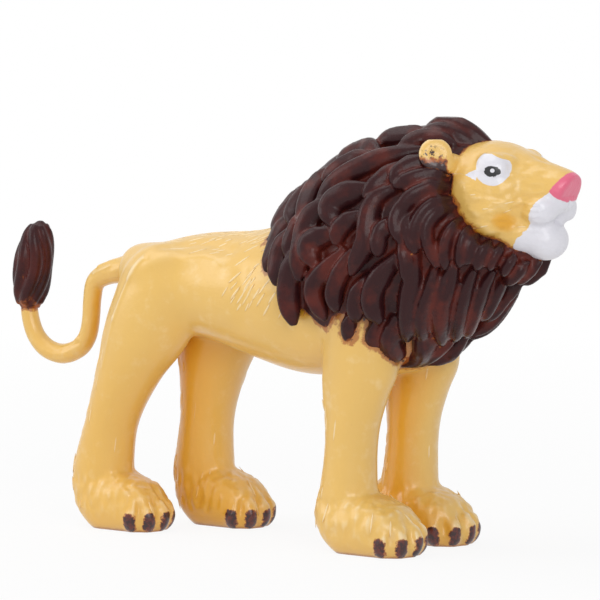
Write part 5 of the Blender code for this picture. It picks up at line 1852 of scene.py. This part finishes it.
def store_fields(skin, word, beside):
    """Stores what the paint reads on a skin: its hollows, its shelter and a piece's bleed."""
    skin.store_hollow(HOLLOW_PASSES[word])
    store_shelter(skin, built["frame"])
    store_bleed(skin, [beside], BLEED_REACHES[word])


def lay_fur(rig, piece, fur, material, size=1.0):
    values = {
        "Length": fur.stroke_length * size,
        "Width": fur.stroke_width * size,
        "Height": fur.stroke_height * size,
        "Spacing": fur.spacing,
        "Density": fur.density,
        "Seed": fur.seed,
        "Material": material,
    }
    rig.apply(piece, values)


class BuildMane(bpy.types.Operator):
    """Moulds the mane from locks that lie over the shoulders, and measures its hollows for the
    paint
    """

    bl_idname = "toy_lion.mane"
    bl_label = "Mane"

    def execute(self, context):
        obj = mane_skin(context.scene.lion_mane)
        skin = Skin(obj.data)
        skin.hold_within("mane")
        skin.store_hollow(HOLLOW_PASSES["mane"])
        built["mane"] = obj
        return {"FINISHED"}


class BuildBody(bpy.types.Operator):
    """Moulds the torso shells, legs and paws from one skin, and lays fur strokes on them"""

    bl_idname = "toy_lion.body"
    bl_label = "Torso and legs"

    def execute(self, context):
        torso, legs = context.scene.lion_torso, context.scene.lion_legs
        obj = body_skin(torso, legs)
        model_body(Skin(obj.data), legs)
        skin = Skin(obj.data)
        store_fields(skin, "body", built["mane"])
        fur_fields(skin)
        claws = {}
        for limb in limbs(legs):
            size = (legs.claw_width / MM / 2, legs.claw_height / MM)
            claws[limb.node] = [(limb.arc / MM, turn, *size) for turn in TOE_TURNS]
        rig = fur_rig()
        for node, piece in parted_body(obj, torso, legs).items():
            name = node + "_fur"
            material = fur_paint(name, context.scene.lion_paint, claws.get(node, ()))
            lay_fur(rig, piece, context.scene.lion_fur, material)
            dress(piece, name, material, "fur_plastic", node)
        return {"FINISHED"}


class BuildHead(bpy.types.Operator):
    """Moulds the head with its neck, muzzle and ears, and paints the face"""

    bl_idname = "toy_lion.head"
    bl_label = "Head"

    def execute(self, context):
        obj = head_skin(context.scene.lion_head)
        skin = Skin(obj.data)
        face_fields(skin)
        store_fields(skin, "head", built["mane"])
        material = face_paint("head_paint", context.scene.lion_paint)
        lay_fur(fur_rig(), obj, context.scene.lion_fur, material, FACE_STROKE_SHARE)
        dress(obj, "head_moulding", material, "painted_face", "head")
        return {"FINISHED"}


class BuildTail(bpy.types.Operator):
    """Draws the bent tail and the brush at its end"""

    bl_idname = "toy_lion.tail"
    bl_label = "Tail and tuft"

    def execute(self, context):
        tail, rump_x = context.scene.lion_tail, context.scene.lion_torso.rump_x
        colours = context.scene.lion_paint
        brush = tuft_skin(tail, rump_x)
        skin = Skin(brush.data)
        skin.hold_within("tail_tuft")
        skin.store_hollow(HOLLOW_PASSES["tuft"])
        skin.store("bleed", np.zeros(len(skin.points)))
        rope = tail_skin(tail, rump_x)
        store_fields(Skin(rope.data), "tail", brush)
        base = tail.root_height - TAIL_SHARES[-1][1] * tail.drop - tail.tuft_sleeve
        worn = [base / MM + over for over in TUFT_WORN]
        paint = hair_paint("brush_paint", colours, worn, TUFT_RED_SHARE)
        dress(brush, "tail_brush", paint, "hair_plastic", "tail_tuft")
        dress(rope, "tail_rope", fur_paint("tail_paint", colours), "fur_plastic", "tail")
        return {"FINISHED"}


class PaintMane(bpy.types.Operator):
    """Paints the finished mane and sets it in the frame"""

    bl_idname = "toy_lion.mane_paint"
    bl_label = "Mane paint"

    def execute(self, context):
        obj = built["mane"]
        beside = ("torso_right_shell_fur", "torso_left_shell_fur", "head_moulding")
        others = [bpy.data.objects[name] for name in beside]
        store_bleed(Skin(obj.data), others, BLEED_REACHES["mane"], FIGURE_PLACE)
        material = hair_paint("mane_paint", context.scene.lion_paint)
        dress(obj, "mane_locks", material, "hair_plastic", "mane")
        return {"FINISHED"}


# The stage. The aim and what the camera looks up to over it are in millimetres, the lights in
# metres: place from the aim, size and power in watts
AIM = (0, -1.7, 42.0)
LOOK_UP = 3.8
CLIP_START, CLIP_END = 0.01, 20.0
LIGHTS = (
    ("top_light", (-0.25, -0.10, 0.85), (0.70, 0.70), 2.7),
    ("left_light", (-0.75, -0.55, 0.40), (0.50, 0.60), 2.2),
    ("camera_light", (0.75, -0.80, 0.45), (0.60, 0.60), 4.4),
)
WHITE = (1.0, 1.0, 1.0, 1.0)
WORLD_LIGHT = (0.44, 0.44, 0.45, 1.0)
FLOOR_COLOUR = (0.86, 0.86, 0.86, 1.0)
FLOOR_ROUGHNESS = 0.7
# How much of the floor is plain white to the camera under the figure, and from where to where that
# grows to all of it, in metres
FLOOR_GLOW_SHARE = 0.90
FLOOR_GLOW_REACH = (0.10, 0.40)


def background_rays(tree):
    """1 where the camera, a gloss or clear plastic shows the background, and 0 where it lights."""
    rays = add_node(tree, "ShaderNodeLightPath").outputs
    total = rays["Is Camera Ray"]
    for name in ("Is Glossy Ray", "Is Transmission Ray"):
        inputs = {0: total, 1: rays[name]}
        total = add_node(tree, "ShaderNodeMath", {"operation": "MAXIMUM"}, inputs).outputs[0]
    return total


def aimed(name, data, place, target):
    """A camera or a light at a place, turned to a target."""
    obj = new_object(name, data)
    obj.location = place
    obj.rotation_euler = (target - place).to_track_quat("-Z", "Y").to_euler()
    return obj


def floor_white():
    """White floor that takes some shadow under the figure and is plain white further off."""
    material = bpy.data.materials.new("floor_white")
    material.use_nodes = True
    tree = material.node_tree
    shader = tree.nodes["Principled BSDF"]
    shader.inputs["Base Color"].default_value = FLOOR_COLOUR
    shader.inputs["Roughness"].default_value = FLOOR_ROUGHNESS
    glow = add_node(tree, "ShaderNodeEmission", {}, {"Color": WHITE})
    spot = add_node(tree, "ShaderNodeTexCoord").outputs["Object"]
    far = add_node(tree, "ShaderNodeVectorMath", {"operation": "LENGTH"}, {0: spot})
    near, wide = FLOOR_GLOW_REACH
    inputs = {"Value": far.outputs["Value"], "From Min": near, "From Max": wide}
    share = add_node(tree, "ShaderNodeMapRange", {}, {**inputs, "To Min": FLOOR_GLOW_SHARE})
    inputs = {0: background_rays(tree), 1: share.outputs[0]}
    part = add_node(tree, "ShaderNodeMath", {"operation": "MULTIPLY"}, inputs)
    inputs = {0: part.outputs[0], 1: shader.outputs[0], 2: glow.outputs[0]}
    both = add_node(tree, "ShaderNodeMixShader", {}, inputs)
    tree.links.new(both.outputs[0], tree.nodes["Material Output"].inputs["Surface"])
    return material


class BuildStage(bpy.types.Operator):
    """Sets the white floor, the soft lights and the camera"""

    bl_idname = "toy_lion.stage"
    bl_label = "Stage"

    def execute(self, context):
        stage = context.scene.lion_stage
        aim = FIGURE_PLACE + Vector(AIM) * MM
        a, e = stage.camera_azimuth, stage.camera_elevation
        back = Vector((math.sin(a) * math.cos(e), -math.cos(a) * math.cos(e), math.sin(e)))
        data = bpy.data.cameras.new("camera")
        data.lens = stage.lens
        data.clip_start, data.clip_end = CLIP_START, CLIP_END
        place = aim + back * stage.camera_distance
        context.scene.camera = aimed("camera", data, place, aim + UP * LOOK_UP * MM)
        for name, place, size, energy in LIGHTS:
            lamp = bpy.data.lights.new(name, "AREA")
            lamp.shape = "RECTANGLE"
            lamp.size, lamp.size_y = size
            lamp.energy = energy
            aimed(name, lamp, aim + Vector(place), aim)
        world = bpy.data.worlds.new("studio")
        context.scene.world = world
        world.use_nodes = True
        tree = world.node_tree
        inputs = {0: background_rays(tree), 6: WORLD_LIGHT, 7: WHITE}
        mix = add_node(tree, "ShaderNodeMix", {"data_type": "RGBA"}, inputs)
        tree.links.new(mix.outputs[2], tree.nodes["Background"].inputs["Color"])
        bm = bmesh.new()
        bmesh.ops.create_grid(bm, x_segments=1, y_segments=1, size=stage.floor / 2)
        mesh = bpy.data.meshes.new("floor")
        bm.to_mesh(mesh)
        bm.free()
        mesh.materials.append(floor_white())
        new_object("floor", mesh)
        context.scene.view_settings.view_transform = "Standard"
        return {"FINISHED"}


class LionPanel(bpy.types.Panel):
    """Lists the steps that build the figure"""

    bl_idname = "VIEW3D_PT_toy_lion"
    bl_label = "Toy lion"
    bl_space_type = "VIEW_3D"
    bl_region_type = "UI"
    bl_category = "Toy lion"

    def draw(self, context):
        for step in STEPS:
            self.layout.operator(step.bl_idname)
        for name in GROUPS:
            group = getattr(context.scene, name)
            box = self.layout.box()
            box.label(text=name.replace("lion_", "").capitalize())
            for key in group.__annotations__:
                box.prop(group, key)


STEPS = (BuildMane, BuildBody, BuildHead, BuildTail, PaintMane, BuildStage)
GROUPS = {
    "lion_torso": TorsoSettings,
    "lion_legs": LegSettings,
    "lion_head": HeadSettings,
    "lion_mane": ManeSettings,
    "lion_tail": TailSettings,
    "lion_fur": FurSettings,
    "lion_paint": PaintSettings,
    "lion_stage": StageSettings,
}


def register():
    for group in GROUPS.values():
        bpy.utils.register_class(group)
    for name, group in GROUPS.items():
        setattr(bpy.types.Scene, name, PointerProperty(type=group))
    for step in STEPS:
        bpy.utils.register_class(step)
    bpy.utils.register_class(LionPanel)


def unregister():
    bpy.utils.unregister_class(LionPanel)
    for step in reversed(STEPS):
        bpy.utils.unregister_class(step)
    for name, group in GROUPS.items():
        delattr(bpy.types.Scene, name)
        bpy.utils.unregister_class(group)


def main():
    register()
    built["frame"] = frame_tree()
    for step in STEPS:
        group, name = step.bl_idname.split(".")
        getattr(getattr(bpy.ops, group), name)()


if __name__ == "__main__":
    main()
